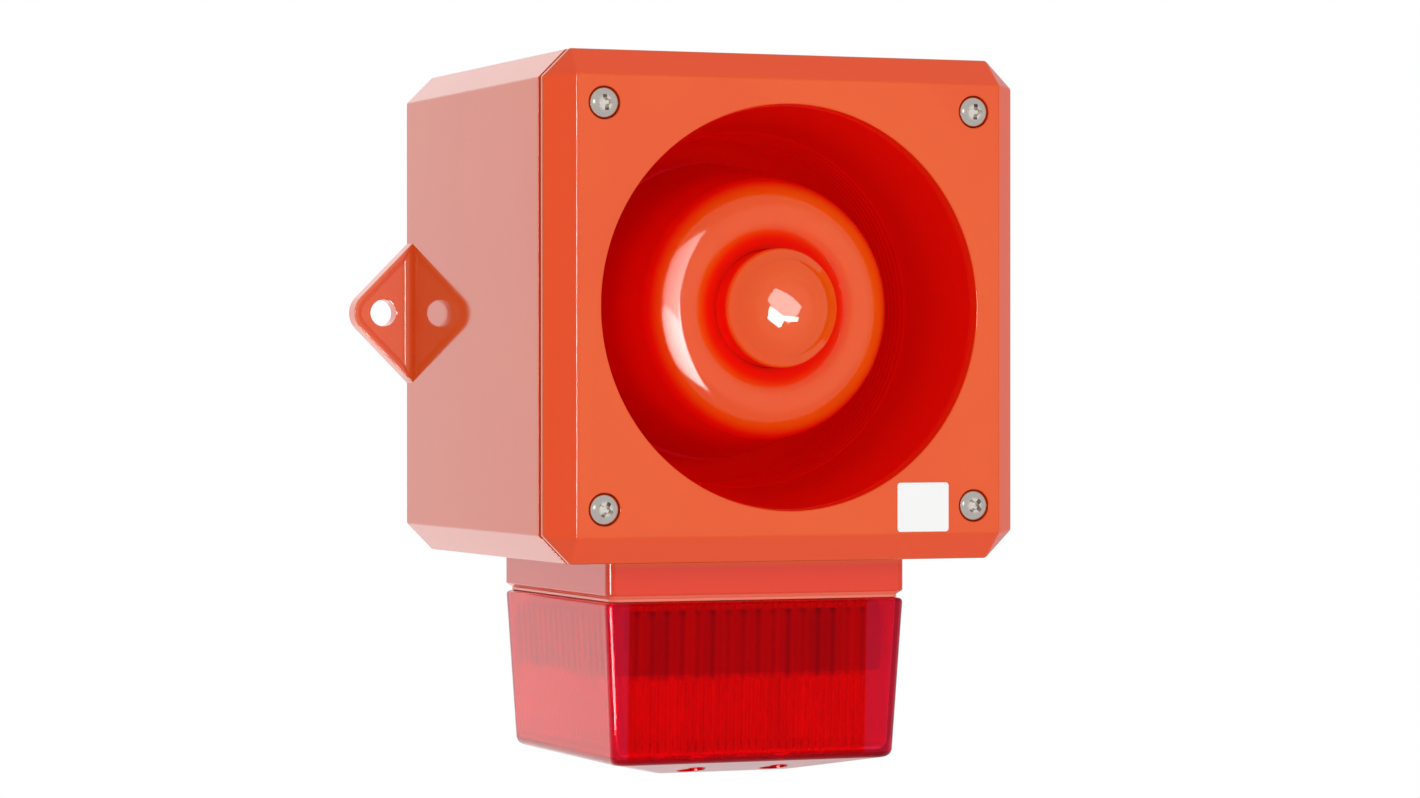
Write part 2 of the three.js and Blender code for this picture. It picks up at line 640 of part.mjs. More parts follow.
// The section is a round ring that runs out along a straight cone to the cup's rim.
function buildReflector() {
  const ringY = FRONT + RING_AT;
  const rimY = FRONT + CUP_RIM_AT;
  const discY = FRONT + CUP_DISC_AT;
  const valleyR = NOSE_R + RUN;
  const innerR = RING_TUBE_R - CUP_WALL;
  // Where a line from the rim touches a round section about the ring's middle.
  const touch = (rimR, r) => {
    const dr = rimR - RING_R;
    const dy = rimY - ringY;
    return Math.atan2(dy, dr) - Math.acos(r / Math.hypot(dr, dy));
  };
  const valleyTurn = -Math.acos((valleyR - RING_R) / RING_TUBE_R);
  const outer = arc(RING_R, ringY, RING_TUBE_R, valleyTurn, touch(CUP_RIM_R, RING_TUBE_R), 8);
  const discBack = discY + CUP_WALL;
  const innerStart = touch(CUP_RIM_R - CUP_WALL, innerR);
  const innerEnd = -Math.PI + Math.asin((ringY - discBack) / innerR);
  const inner = arc(RING_R, ringY, innerR, innerStart, innerEnd, 5);
  const bore = HUB_SCREW_R + RUN;
  const profile = [
    [bore, discY], [valleyR, discY], ...outer, [CUP_RIM_R, rimY - CUP_RIM_BREAK],
    [CUP_RIM_R - CUP_RIM_BREAK, rimY], [CUP_RIM_R - CUP_WALL, rimY], ...inner, [bore, discBack],
  ];
  add('horn_reflector', turned(profile, 40, true), plasticRed());

  const edgeY = FRONT + NOSE_EDGE_AT;
  const tipY = FRONT + NOSE_TIP_AT;
  const skirtY = discY - SEAT;
  const shoulderR = NOSE_R - NOSE_EDGE_R * 0.35;
  const domeRise = edgeY - NOSE_EDGE_R - tipY;
  const crown = (r) => tipY + domeRise * (r / shoulderR) ** 2;
  const top = [0, 0.45, 0.8].map((t) => [t * shoulderR, crown(t * shoulderR)]);
  const innerCrownR = shoulderR * 0.6;
  const nose = [
    ...top, [shoulderR, edgeY - NOSE_EDGE_R * 0.55], [NOSE_R, edgeY], [NOSE_R, skirtY],
    [NOSE_R - NOSE_WALL, skirtY], [NOSE_R - NOSE_WALL, edgeY + NOSE_WALL / 2],
    [innerCrownR, crown(innerCrownR) + NOSE_CROWN_WALL], [0, tipY + NOSE_WALL],
  ];
  add('reflector_cap', turned(nose, 26), plasticRed());
  const screw = panScrew(HUB_SCREW_R, HUB_SCREW_LENGTH, HUB_SCREW_HEAD_R, HUB_SCREW_HEAD_H, false);
  add('reflector_screw', screw, steel(), 0, discY - SEAT, 0);
}

function buildDriver() {
  const plateFront = BELL_BACK_Y + SEAT;
  const plateBack = plateFront + DRIVER_PLATE_H;
  const pocketY = plateBack - DIAPHRAGM_POCKET;
  const pocketR = DIAPHRAGM_R + COIL_GAP;
  const boltHoles = driverBoltPlaces().map(([x, z]) => {
    return rod('y', DRIVER_SCREW_R + RUN, plateFront - PAST, plateBack + PAST, x, z, 10);
  });
  const plate = turned([
    [THROAT_R, plateFront], [DRIVER_PLATE_R, plateFront], [DRIVER_PLATE_R, plateBack],
    [pocketR, plateBack], [pocketR, pocketY], [THROAT_R, pocketY],
  ], 28, true);
  add('driver_front_plate', combine([plate], boltHoles), finish(0x8f9195, 0.45, 1));

  const topY = plateBack + SEAT;
  const topBack = topY + TOP_PLATE_H;
  const magnetY = topBack + SEAT;
  const magnetBack = magnetY + MAGNET_H;
  const yokeY = magnetBack + SEAT;
  const yokeBack = yokeY + YOKE_H;
  const gapR = COIL_R + COIL_WALL + COIL_GAP;
  const ring = (inner, outer, from, to) => [[inner, from], [outer, from], [outer, to], [inner, to]];
  const magnet = turned(ring(MAGNET_BORE_R, MAGNET_R, magnetY, magnetBack), 28, true);
  add('driver_top_plate', turned(ring(gapR, MAGNET_R, topY, topBack), 28, true), steel());
  add('driver_magnet', magnet, finish(0x2b2c2e, 0.7));
  add('driver_yoke', turned([
    [0, topY], [POLE_R, topY], [POLE_R, yokeY], [MAGNET_R, yokeY], [MAGNET_R, yokeBack], [0, yokeBack],
  ], 28), steel());

  const canInnerR = MAGNET_R + CAN_GAP;
  const canBack = yokeBack + CAN_GAP;
  add('driver_can', turned([
    [0, canBack], [canInnerR, canBack], [canInnerR, topY], [CAN_R, topY],
    [CAN_R, canBack + CAN_WALL], [0, canBack + CAN_WALL],
  ], 28), plasticBlack());

  driverBoltPlaces().forEach(([x, z], i) => {
    const length = BELL_WALL + THROAT_FLANGE_H + DRIVER_PLATE_H - DRIVER_SCREW_SHORT;
    const screw = panScrew(DRIVER_SCREW_R, length, DRIVER_HEAD_R, DRIVER_HEAD_H, false).rotateX(Math.PI);
    add(`driver_screw_${i + 1}`, screw, steel(), x, plateBack + SEAT, z);
  });

  const surroundY = topY - COIL_GAP - DIAPHRAGM_WALL;
  const surroundBack = surroundY + DIAPHRAGM_WALL;
  const crown = (r) => surroundY - DIAPHRAGM_RISE * (1 - (r / COIL_R) ** 2);
  const stops = [0, 0.5, 0.8, 1].map((t) => t * COIL_R);
  const face = stops.map((r) => [r, crown(r)]);
  const rear = stops.slice().reverse().map((r) => [r, crown(r) + DIAPHRAGM_WALL]);
  const film = turned([...face, [DIAPHRAGM_R, surroundY], [DIAPHRAGM_R, surroundBack], ...rear], 22);
  add('driver_diaphragm', film, finish(0xb9b2a0, 0.5));
  const coilY = surroundBack + SEAT / 2;
  const coil = turned(ring(COIL_R, COIL_R + COIL_WALL, coilY, coilY + COIL_H), 22, true);
  add('voice_coil', coil, finish(0xb06a3a, 0.4, 1));
}

// The middles of pieces that stand in a row with even gaps between the board's end screws.
function rowPlaces(widths) {
  const end = BOARD_SCREW_X - BOARD_HEAD_R - ROW_END_GAP;
  const gap = (2 * end - widths.reduce((sum, width) => sum + width)) / (widths.length + 1);
  let edge = -end;
  return widths.map((width) => {
    edge += gap + width;
    return edge - width / 2;
  });
}

// A terminal strip: a block with one screw well a way.
function terminalStrip(x, faceY, ways) {
  const width = ways * TERMINAL_PITCH;
  const low = BOARD_LOW + PART_EDGE_GAP;
  const front = faceY - TERMINAL_DEEP;
  const body = block([x - width / 2, front, low], [x + width / 2, faceY, low + TERMINAL_TALL]);
  const wells = Array.from({ length: ways }, (_, i) => {
    const wellX = x - width / 2 + TERMINAL_PITCH * (i + 0.5);
    return rod('y', TERMINAL_WELL_R, front - PAST, front + TERMINAL_WELL_DEPTH, wellX, low + TERMINAL_TALL / 2, 6);
  });
  return combine([body], wells);
}

// A switch with a row of sliders that each stand low in a slot and move up by SLIDER_TRAVEL.
function addToneSwitch(x, faceY, middleZ) {
  const [width, deep, tall] = TONE_SWITCH;
  const front = faceY - deep;
  const slotFloor = front + SLOT_DEPTH;
  const slotHalf = SLIDER_WIDTH / 2 + RUN;
  const slotLength = SLIDER_LENGTH + SLIDER_TRAVEL + 2 * RUN;
  const slotLow = middleZ - slotLength / 2;
  const ways = Array.from({ length: SLIDER_COUNT }, (_, i) => x + (i - (SLIDER_COUNT - 1) / 2) * SLIDER_PITCH);
  const body = block([x - width / 2, front, middleZ - tall / 2], [x + width / 2, faceY, middleZ + tall / 2]);
  const slots = ways.map((wayX) => block(
    [wayX - slotHalf, front - PAST, slotLow],
    [wayX + slotHalf, slotFloor, slotLow + slotLength],
  ));
  add('tone_switch', combine([body], slots), finish(0xb3261e, 0.45));
  ways.forEach((wayX, i) => {
    const slider = block(
      [wayX - SLIDER_WIDTH / 2, front - SLIDER_PROUD, slotLow + RUN],
      [wayX + SLIDER_WIDTH / 2, slotFloor - RUN, slotLow + RUN + SLIDER_LENGTH],
    );
    add(`tone_slider_${i + 1}`, slider, finish(0xf0efe8, 0.4));
  });
}

// A trimmer whose rotor has a screwdriver slot and turns in a well.
function addTrimmer(x, faceY, middleZ) {
  const [width, deep, tall] = TRIMMER;
  const front = faceY - deep;
  const wellFloor = front + WELL_DEPTH;
  const body = block([x - width / 2, front, middleZ - tall / 2], [x + width / 2, faceY, middleZ + tall / 2]);
  const well = rod('y', ROTOR_R + RUN, front - PAST, wellFloor, x, middleZ, 24);
  add('volume_trimmer', combine([body], [well]), finish(0x2257a8, 0.4));
  const rotor = rod('y', ROTOR_R, front - ROTOR_PROUD, wellFloor - RUN, 0, 0, 24);
  const reach = ROTOR_R + PAST;
  const slot = block([-reach, front - ROTOR_PROUD - PAST, -ROTOR_SLOT / 2], [reach, front, ROTOR_SLOT / 2]);
  add('volume_rotor', combine([rotor], [slot]), finish(0xf0efe8, 0.4), x, 0, middleZ);
}

function buildControlBoard() {
  const rearY = STANDOFF_Y - SEAT;
  const faceY = rearY - BOARD_THICKNESS;
  const partY = faceY - SEAT;
  const board = block([-BOARD_HALF_WIDTH, faceY, BOARD_LOW], [BOARD_HALF_WIDTH, rearY, BOARD_HIGH]);
  const holes = standoffPlaces().map(([x, z]) => {
    return rod('y', BOARD_SCREW_R + RUN, rearY + PAST, faceY - PAST, x, z, 10);
  });
  add('control_board', combine([board], holes), boardGreen());
  const upper = standoffPlaces().filter(([, z]) => z > boardMiddleZ());
  upper.forEach(([x, z], i) => {
    const length = BOARD_THICKNESS + BOARD_STANDOFF - PAST;
    const screw = panScrew(BOARD_SCREW_R, length, BOARD_HEAD_R, BOARD_HEAD_H, false);
    add(`board_screw_${i + 1}`, screw, steel(), x, faceY - SEAT, z);
  });

  const strips = rowPlaces([BEACON_WAYS * TERMINAL_PITCH, SUPPLY_WAYS * TERMINAL_PITCH]);
  add('beacon_terminals', terminalStrip(strips[0], partY, BEACON_WAYS), finish(0x2f7d4f, 0.5));
  add('supply_terminals', terminalStrip(strips[1], partY, SUPPLY_WAYS), finish(0x2f7d4f, 0.5));

  const [coreWidth, coreDeep, coreTall] = TRANSFORMER;
  const row = rowPlaces([2 * FILTER_CAN_R, coreWidth, TONE_SWITCH[0], TRIMMER[0]]);
  const [canX, coreX, switchX, trimmerX] = row;
  const coreZ = BOARD_HIGH - PART_EDGE_GAP - coreTall / 2;
  const canEnd = partY - FILTER_CAN_LENGTH;
  const can = turned([
    [0, canEnd], [FILTER_CAN_R - FILTER_CAN_EDGE, canEnd], [FILTER_CAN_R, canEnd + FILTER_CAN_EDGE],
    [FILTER_CAN_R, partY], [0, partY],
  ], 20);
  add('filter_capacitor', can, finish(0x27406b, 0.4), canX, 0, coreZ);
  const core = block(
    [coreX - coreWidth / 2, partY - coreDeep, coreZ - coreTall / 2],
    [coreX + coreWidth / 2, partY, coreZ + coreTall / 2],
  );
  const bobbin = rod('y', BOBBIN_R, partY - coreDeep - BOBBIN_PROUD, partY - coreDeep + PAST, coreX, coreZ, 16);
  add('output_transformer', combine([core, bobbin]), finish(0x4a4a4c, 0.5));

  const switchZ = BOARD_HIGH - SWITCH_EDGE_GAP - TONE_SWITCH[2] / 2;
  addToneSwitch(switchX, partY, switchZ);
  addTrimmer(trimmerX, partY, switchZ);
}

// A ring of points: a rectangle in X and Y with round corners, at one height.
function roundRect(z, halfX, lowY, highY, r, steps = 2) {
  const ring = [];
  const corners = [
    [halfX - r, highY - r, 0], [-halfX + r, highY - r, 1], [-halfX + r, lowY + r, 2], [halfX - r, lowY + r, 3],
  ];
  for (const [cx, cy, quarter] of corners) {
    for (let i = 0; i <= steps; i += 1) {
      const t = (quarter + i / steps) * Math.PI / 2;
      ring.push([cx + r * Math.cos(t), cy + r * Math.sin(t), z]);
    }
  }
  return ring;
}

// A closed solid through rings of equal length, the first ring highest.
function loft(rings) {
  const count = rings[0].length;
  const positions = rings.flat(2);
  const index = [];
  for (let k = 0; k + 1 < rings.length; k += 1) {
    for (let i = 0; i < count; i += 1) {
      const a = k * count + i;
      const b = k * count + (i + 1) % count;
      index.push(a, a + count, b, b, a + count, b + count);
    }
  }
  const last = (rings.length - 1) * count;
  for (let i = 1; i + 1 < count; i += 1) {
    index.push(0, i, i + 1);
    index.push(last, last + i + 1, last + i);
  }
  const geometry = new THREE.BufferGeometry();
  geometry.setAttribute('position', new THREE.Float32BufferAttribute(positions, 3));
  geometry.setIndex(index);
  return geometry;
}

// A rounded rectangle of the beacon, drawn in by separate distances in X and Y.
function beaconRing(z, insetX, insetY, r) {
  return roundRect(z, BASE_HALF - insetX, BASE_FRONT + insetY, BASE_REAR - insetY, r);
}

function buildBeaconBase() {
  const even = (z, inset, r = BASE_CORNER_R) => beaconRing(z, inset, inset, r);
  const outer = loft([
    even(BASE_TOP, 0), even(BASE_SHOULDER_Z, 0), even(BASE_SHOULDER_Z - BASE_SHOULDER, BASE_LIP_INSET),
    even(BASE_LIP_Z, BASE_LIP_INSET),
  ]);
  const inset = BASE_LIP_INSET + BASE_WALL;
  const hollow = loft([even(CEILING_Z, inset, BASE_INNER_R), even(BASE_LIP_Z - PAST, inset, BASE_INNER_R)]);
  const rootZ = CEILING_Z + PAST;
  const joined = [combine([outer], [hollow])];
  const cuts = [rod('z', WIRE_HOLE_R, BASE_TOP + PAST, CEILING_Z - PAST, 0, BASE_MID_Y, 16)];
  for (const [x, y] of basePlaces()) {
    const end = CEILING_Z - BASE_BOSS_LENGTH;
    joined.push(rod('z', BASE_BOSS_R, rootZ, end, x, y, 12));
    cuts.push(rod('z', BASE_SCREW_R + RUN, BASE_TOP + PAST, end + PAST, x, y, 10));
  }
  for (const [x, y] of lensScrewPlaces()) {
    joined.push(rod('z', POST_R, rootZ, POST_END_Z, x, y, 10));
    cuts.push(rod('z', LENS_SCREW_R + RUN, POST_END_Z + POST_HOLE_DEPTH, POST_END_Z - PAST, x, y, 10));
  }
  for (const x of [-STROBE_SCREW_X, STROBE_SCREW_X]) {
    const end = CEILING_Z - STROBE_DROP;
    joined.push(rod('z', STROBE_BOSS_R, rootZ, end, x, BASE_MID_Y, 12));
    cuts.push(rod('z', BOARD_SCREW_R + RUN, CEILING_Z - BASE_CEILING, end - PAST, x, BASE_MID_Y, 10));
  }
  add('beacon_base', combine(joined, cuts), plasticRed());

  const floorZ = -HALF + WALL;
  basePlaces().forEach(([x, y], i) => {
    const screw = panScrew(BASE_SCREW_R, BASE_SCREW_LENGTH, BASE_HEAD_R, BASE_HEAD_H, false);
    add(`beacon_screw_${i + 1}`, screw.rotateX(-Math.PI / 2), steel(), x, y, floorZ + SEAT);
  });
  // A rubber bush through the floor of the box and the ceiling of the base, for the beacon's wires.
  const bushR = WIRE_HOLE_R - RUN;
  const flangeR = WIRE_HOLE_R + BUSH_FLANGE;
  const bush = turned([
    [BUSH_BORE_R, CEILING_Z - BUSH_PROUD], [bushR, CEILING_Z - BUSH_PROUD], [bushR, floorZ + SEAT],
    [flangeR, floorZ + SEAT], [flangeR, floorZ + BUSH_FLANGE], [BUSH_BORE_R, floorZ + BUSH_FLANGE],
  ], 16, true).rotateX(Math.PI / 2);
  add('wire_grommet', bush, plasticBlack(), 0, BASE_MID_Y, 0);
}

function buildStrobe() {
  const boardTop = CEILING_Z - STROBE_DROP - SEAT;
  const boardLow = boardTop - BOARD_THICKNESS;
  const partTop = boardLow - SEAT;
  // A block about the beacon's middle in X and Y.
  const central = (halfX, halfY, low, high) => {
    return block([-halfX, BASE_MID_Y - halfY, low], [halfX, BASE_MID_Y + halfY, high]);
  };
  const through = [boardTop + PAST, boardLow - PAST];
  const holes = lensScrewPlaces().map(([x, y]) => rod('z', POST_R + RUN, ...through, x, y, 12));
  const screwPlaces = [-STROBE_SCREW_X, STROBE_SCREW_X];
  for (const x of screwPlaces) holes.push(rod('z', BOARD_SCREW_R + RUN, ...through, x, BASE_MID_Y, 10));
  const board = central(STROBE_HALF_X, STROBE_HALF_Y, boardLow, boardTop);
  add('strobe_board', combine([board], holes), boardGreen());
  screwPlaces.forEach((x, i) => {
    const screw = panScrew(BOARD_SCREW_R, STROBE_SCREW_LENGTH, BOARD_HEAD_R, BOARD_HEAD_H, false);
    add(`strobe_board_screw_${i + 1}`, screw.rotateX(Math.PI / 2), steel(), x, BASE_MID_Y, partTop);
  });

  const shroudTop = boardTop + SHROUD_RISE;
  const shroudLow = shroudTop - SHROUD_HEIGHT;
  const [innerX, innerY] = [STROBE_HALF_X + SHROUD_GAP, STROBE_HALF_Y + SHROUD_GAP];
  const outer = central(innerX + SHROUD_WALL, innerY + SHROUD_WALL, shroudLow, shroudTop);
  const inner = central(innerX, innerY, shroudLow - PAST, shroudTop + PAST);
  add('inner_shroud', combine([outer], [inner]), plasticBlack());

  const [holderX, holderY, holderZ] = HOLDER;
  const holderLow = partTop - holderZ;
  const holder = central(holderX / 2, holderY / 2, holderLow, partTop);
  const tubeTop = holderLow + HOLDER_HOLE_DEPTH;
  const legHoles = [-TUBE_BEND_R, TUBE_BEND_R].map((x) => {
    return rod('z', TUBE_R + RUN, tubeTop, holderLow - PAST, x, BASE_MID_Y, 12);
  });
  add('tube_holder', combine([holder], legHoles), finish(0xe8e6df, 0.5));
  add('xenon_tube', xenonTube(tubeTop - RUN, partTop - TUBE_REACH), finish(0xeef4f6, 0.1));

  const canX = -STROBE_SCREW_X + STROBE_CAN_SIDE;
  const canFrom = BASE_MID_Y - STROBE_CAN_LENGTH / 2;
  const can = rod('y', STROBE_CAN_R, canFrom, canFrom + STROBE_CAN_LENGTH, canX, partTop - STROBE_CAN_R, 20);
  add('strobe_capacitor', can, finish(0x23262b, 0.4));
  const coilX = STROBE_HALF_X - TRIGGER_SIDE;
  const coil = rod('z', TRIGGER_R, partTop, partTop - TRIGGER_LENGTH, coilX, BASE_MID_Y + TRIGGER_BACK, 16);
  add('trigger_coil', coil, finish(0x8a3b1f, 0.5));

  const seal = (z, inset) => beaconRing(z, inset, inset, BASE_INNER_R);
  const sealTop = BASE_LIP_Z - SEAT / 2;
  const sealLow = LENS_TOP + SEAT / 2;
  const sealInner = SEAL_INSET + SEAL_WIDTH;
  const ring = loft([seal(sealTop, SEAL_INSET), seal(sealLow, SEAL_INSET)]);
  const hole = loft([seal(sealTop + PAST, sealInner), seal(sealLow - PAST, sealInner)]);
  add('lens_gasket', combine([ring], [hole]), plasticBlack());
}

// A glass tube bent into a U: two legs and a half turn, swept as one.
function xenonTube(topZ, lowZ) {
  class Bend extends THREE.Curve {
    getPoint(t) {
      const leg = topZ - lowZ - TUBE_BEND_R;
      const turn = Math.PI * TUBE_BEND_R;
      const s = t * (2 * leg + turn);
      if (s < leg) return new THREE.Vector3(-TUBE_BEND_R, BASE_MID_Y, topZ - s);
      if (s > leg + turn) return new THREE.Vector3(TUBE_BEND_R, BASE_MID_Y, topZ - (2 * leg + turn - s));
      const a = (s - leg) / TUBE_BEND_R;
      const x = -TUBE_BEND_R * Math.cos(a);
      const z = lowZ + TUBE_BEND_R - TUBE_BEND_R * Math.sin(a);
      return new THREE.Vector3(x, BASE_MID_Y, z);
    }
  }
  const sides = 8;
  const around = arc(0, 0, TUBE_R, 0, 2 * Math.PI * (sides - 1) / sides, sides - 1);
  const section = new THREE.Shape(around.map(([u, v]) => new THREE.Vector2(u, v)));
  return new THREE.ExtrudeGeometry(section, { steps: 18, extrudePath: new Bend() });
}

// The lens, drawn in by an even distance for its inner face. Both faces run down to a raised foot.
function lensRings(inset, topRings, lowZ, footZ) {
  const at = (z, x, y, r) => beaconRing(z, x + inset, y + inset, Math.max(0.6, r - inset));
  const edgeRings = [0, 0.5, 1].map((t) => {
    const a = t * Math.PI / 2;
    const inward = LENS_EDGE_R * (1 - Math.cos(a));
    const z = lowZ + LENS_EDGE_R * (1 - Math.sin(a));
    return at(z, LENS_TAPER + inward, LENS_TAPER_Y + inward, LENS_CORNER_R);
  });
  const foot = at(footZ, BASE_HALF - LENS_FOOT_HALF - inset, LENS_FOOT_INSET - inset, 1);
  return [...topRings.map(([z, x, r]) => at(z, x, x, r)), ...edgeRings, foot];
}

function buildLens() {
  const chamfer = LENS_TOP_CHAMFER;
  const outerTop = [[LENS_TOP, chamfer, BASE_INNER_R], [LENS_TOP - chamfer, 0, BASE_CORNER_R]];
  const innerTop = [[LENS_TOP + PAST, 0, BASE_CORNER_R]];
  const outer = loft(lensRings(0, outerTop, LENS_LOW, LENS_FOOT_Z));
  const hollow = loft(lensRings(LENS_WALL, innerTop, LENS_LOW + LENS_WALL, LENS_FOOT_Z + LENS_WALL));
  const columnTop = POST_END_Z - RUN;
  const pocketTop = LENS_FOOT_Z + LENS_POCKET_DEPTH;
  const joined = [combine([outer], [hollow])];
  const cuts = [];
  for (const [x, y] of lensScrewPlaces()) {
    joined.push(rod('z', LENS_COLUMN_R, columnTop, LENS_FOOT_Z + LENS_COLUMN_SEAT, x, y, 12));
    cuts.push(rod('z', LENS_POCKET_R, pocketTop, LENS_FOOT_Z - PAST, x, y, 16));
    cuts.push(rod('z', LENS_SCREW_R + RUN, columnTop + PAST, LENS_FOOT_Z, x, y, 10));
  }
  add('beacon_lens', combine(joined, cuts), finish(0xc80a14, 0.08));
  lensScrewPlaces().forEach(([x, y], i) => {
    const length = columnTop - pocketTop + LENS_SCREW_BITE;
    const screw = panScrew(LENS_SCREW_R, length, LENS_HEAD_R, LENS_HEAD_H, true).rotateX(Math.PI / 2);
    add(`lens_screw_${i + 1}`, screw, steel(), x, y, pocketTop - SEAT);
  });
}

buildHousing();
buildEntryPlugs();
buildCover();
buildCoverScrews();
buildLabel();
buildBell();
buildThroat();
buildReflector();
buildDriver();
buildControlBoard();
buildBeaconBase();
buildStrobe();
buildLens();

export default root;
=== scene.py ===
# %% [markdown]
# A horn strobe is a loud alarm with a flashing beacon under it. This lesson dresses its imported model:
# the model gives every piece its place and size, and the cells below give each one its moulded edges
# and its finish. All sizes here are in millimetres, and one factor turns them into Blender's metres.

# %% Loading the frame
import json
import math

import bmesh
import bpy
from mathutils import Matrix, Vector

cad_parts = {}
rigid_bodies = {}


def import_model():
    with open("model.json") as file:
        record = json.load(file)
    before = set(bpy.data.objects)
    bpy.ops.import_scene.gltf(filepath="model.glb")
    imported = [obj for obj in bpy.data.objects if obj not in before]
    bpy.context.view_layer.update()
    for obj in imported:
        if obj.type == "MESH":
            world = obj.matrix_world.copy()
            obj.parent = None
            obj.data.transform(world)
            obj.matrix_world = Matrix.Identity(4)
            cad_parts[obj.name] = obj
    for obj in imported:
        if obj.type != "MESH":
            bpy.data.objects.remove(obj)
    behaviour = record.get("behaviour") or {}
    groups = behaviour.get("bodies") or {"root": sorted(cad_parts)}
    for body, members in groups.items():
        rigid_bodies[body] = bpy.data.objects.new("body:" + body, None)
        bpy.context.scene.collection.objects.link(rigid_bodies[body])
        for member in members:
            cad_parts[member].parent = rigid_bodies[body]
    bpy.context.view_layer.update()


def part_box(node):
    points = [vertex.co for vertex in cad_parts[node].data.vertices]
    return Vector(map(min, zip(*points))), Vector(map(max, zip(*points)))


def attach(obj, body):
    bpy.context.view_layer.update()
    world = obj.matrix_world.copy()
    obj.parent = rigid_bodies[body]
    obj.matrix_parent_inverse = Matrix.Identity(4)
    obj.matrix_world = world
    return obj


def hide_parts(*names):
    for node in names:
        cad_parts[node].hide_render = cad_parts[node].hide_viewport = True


MM = 0.001

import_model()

# %% [markdown]
# The camera comes first, because it decides how much of everything else is seen. It stands about a
# metre and a half away with a long lens, a little to the left of the box and almost level with it.

# %% The camera
CAMERA_AT = Vector((-521.23, -1385.32, -25.09))
CAMERA_YAW = math.radians(21.7235)
CAMERA_PITCH = math.radians(-0.155)
CAMERA_ROLL = 0.0002
CAMERA_LENS = 108.546
SENSOR_WIDTH = 36.0

scene = bpy.context.scene
scene.view_settings.view_transform = "Standard"
camera_data = bpy.data.cameras.new("camera")
camera_data.sensor_fit = "HORIZONTAL"
camera_data.sensor_width = SENSOR_WIDTH
camera_data.lens = CAMERA_LENS
camera_data.clip_start = 0.01
camera = bpy.data.objects.new("camera", camera_data)
scene.collection.objects.link(camera)
turn = (
    Matrix.Rotation(-CAMERA_YAW, 4, "Z")
    @ Matrix.Rotation(math.pi / 2 + CAMERA_PITCH, 4, "X")
    @ Matrix.Rotation(-CAMERA_ROLL, 4, "Z")
)
camera.matrix_world = Matrix.Translation(CAMERA_AT * MM) @ turn
scene.camera = camera
print("camera stands", round(CAMERA_AT.length), "mm from the middle of the box's back")

# %% [markdown]
# Colours are written as they look on screen, as sRGB hex values, and one function turns them into the
# linear numbers that light is added up in. Another adds a node, sets it and links it: an input can be a
# number, a socket, or a node, whose first output is meant then.

# %% Colours and nodes
def linear(colour):
    """An sRGB hex colour such as #E6521C as linear red, green, blue and alpha."""
    parts = [int(colour[i : i + 2], 16) / 255 for i in (1, 3, 5)]
    return [c / 12.92 if c <= 0.04045 else ((c + 0.055) / 1.055) ** 2.4 for c in parts] + [1.0]


def set_inputs(node, inputs):
    """Sets a node's inputs, and links those that are given as a socket or a node."""
    for key, value in inputs.items():
        if isinstance(value, bpy.types.Node):
            value = value.outputs[0]
        if isinstance(value, bpy.types.NodeSocket):
            node.id_data.links.new(value, node.inputs[key])
        else:
            node.inputs[key].default_value = value


def add_node(tree, kind, inputs=None, **settings):
    """Adds a node, applies its settings, and sets or links its inputs."""
    node = tree.nodes.new(kind)
    for key, value in settings.items():
        setattr(node, key, value)
    set_inputs(node, inputs or {})
    return node


# A Mix node lists its colour sockets after those for numbers and vectors.
MIX_A = 6
MIX_B = 7
MIX_RESULT = 2
SHADER = "Principled BSDF"
PLACE = "place in millimetres"


def start_material(name):
    """A material with a bare node tree, its shader and the piece's own coordinates in millimetres."""
    material = bpy.data.materials.new(name)
    material.use_nodes = True
    tree = material.node_tree
    metres = add_node(tree, "ShaderNodeTexCoord").outputs["Object"]
    scale = {0: metres, 1: (1 / MM,) * 3}
    place = add_node(tree, "ShaderNodeVectorMath", scale, operation="MULTIPLY", name=PLACE)
    return material, tree, tree.nodes[SHADER], place


def finish_shader(shader, share, colours, gloss, relief, constants=None, invert=False):
    """Gives a shader two colours mixed by a share, a range or value of roughness, a bump and constants."""
    tree = shader.id_data
    mix = {"Factor": share, MIX_A: linear(colours[0]), MIX_B: linear(colours[1])}
    tone = add_node(tree, "ShaderNodeMix", mix, data_type="RGBA").outputs[MIX_RESULT]
    inputs = {"Base Color": tone, "Roughness": gloss, **(constants or {})}
    if isinstance(gloss, dict):
        inputs["Roughness"] = add_node(tree, "ShaderNodeMapRange", gloss)
    if relief:
        inputs["Normal"] = add_node(tree, "ShaderNodeBump", relief, invert=invert)
    set_inputs(shader, inputs)


# %% [markdown]
# The box, the lid and the beacon's base are injection moulded ABS. The real plastic is coloured all
# through, so it shows no scratches of another colour. What the eye reads as plastic is the clear
# gloss over a saturated colour, a very fine orange peel from the polished mould, and broad faint
# clouds where the plastic flowed. Noise at three real scales gives those: about 60, 9 and 0.7 mm.

# %% Moulded plastics
CLOUD_MM = 60.0
FLOW_MM = 9.0
PEEL_MM = 0.7
PLASTIC_IOR = 1.53
GLOW_MM = 6.0
GLOW_RADII = (1.0, 0.12, 0.05)


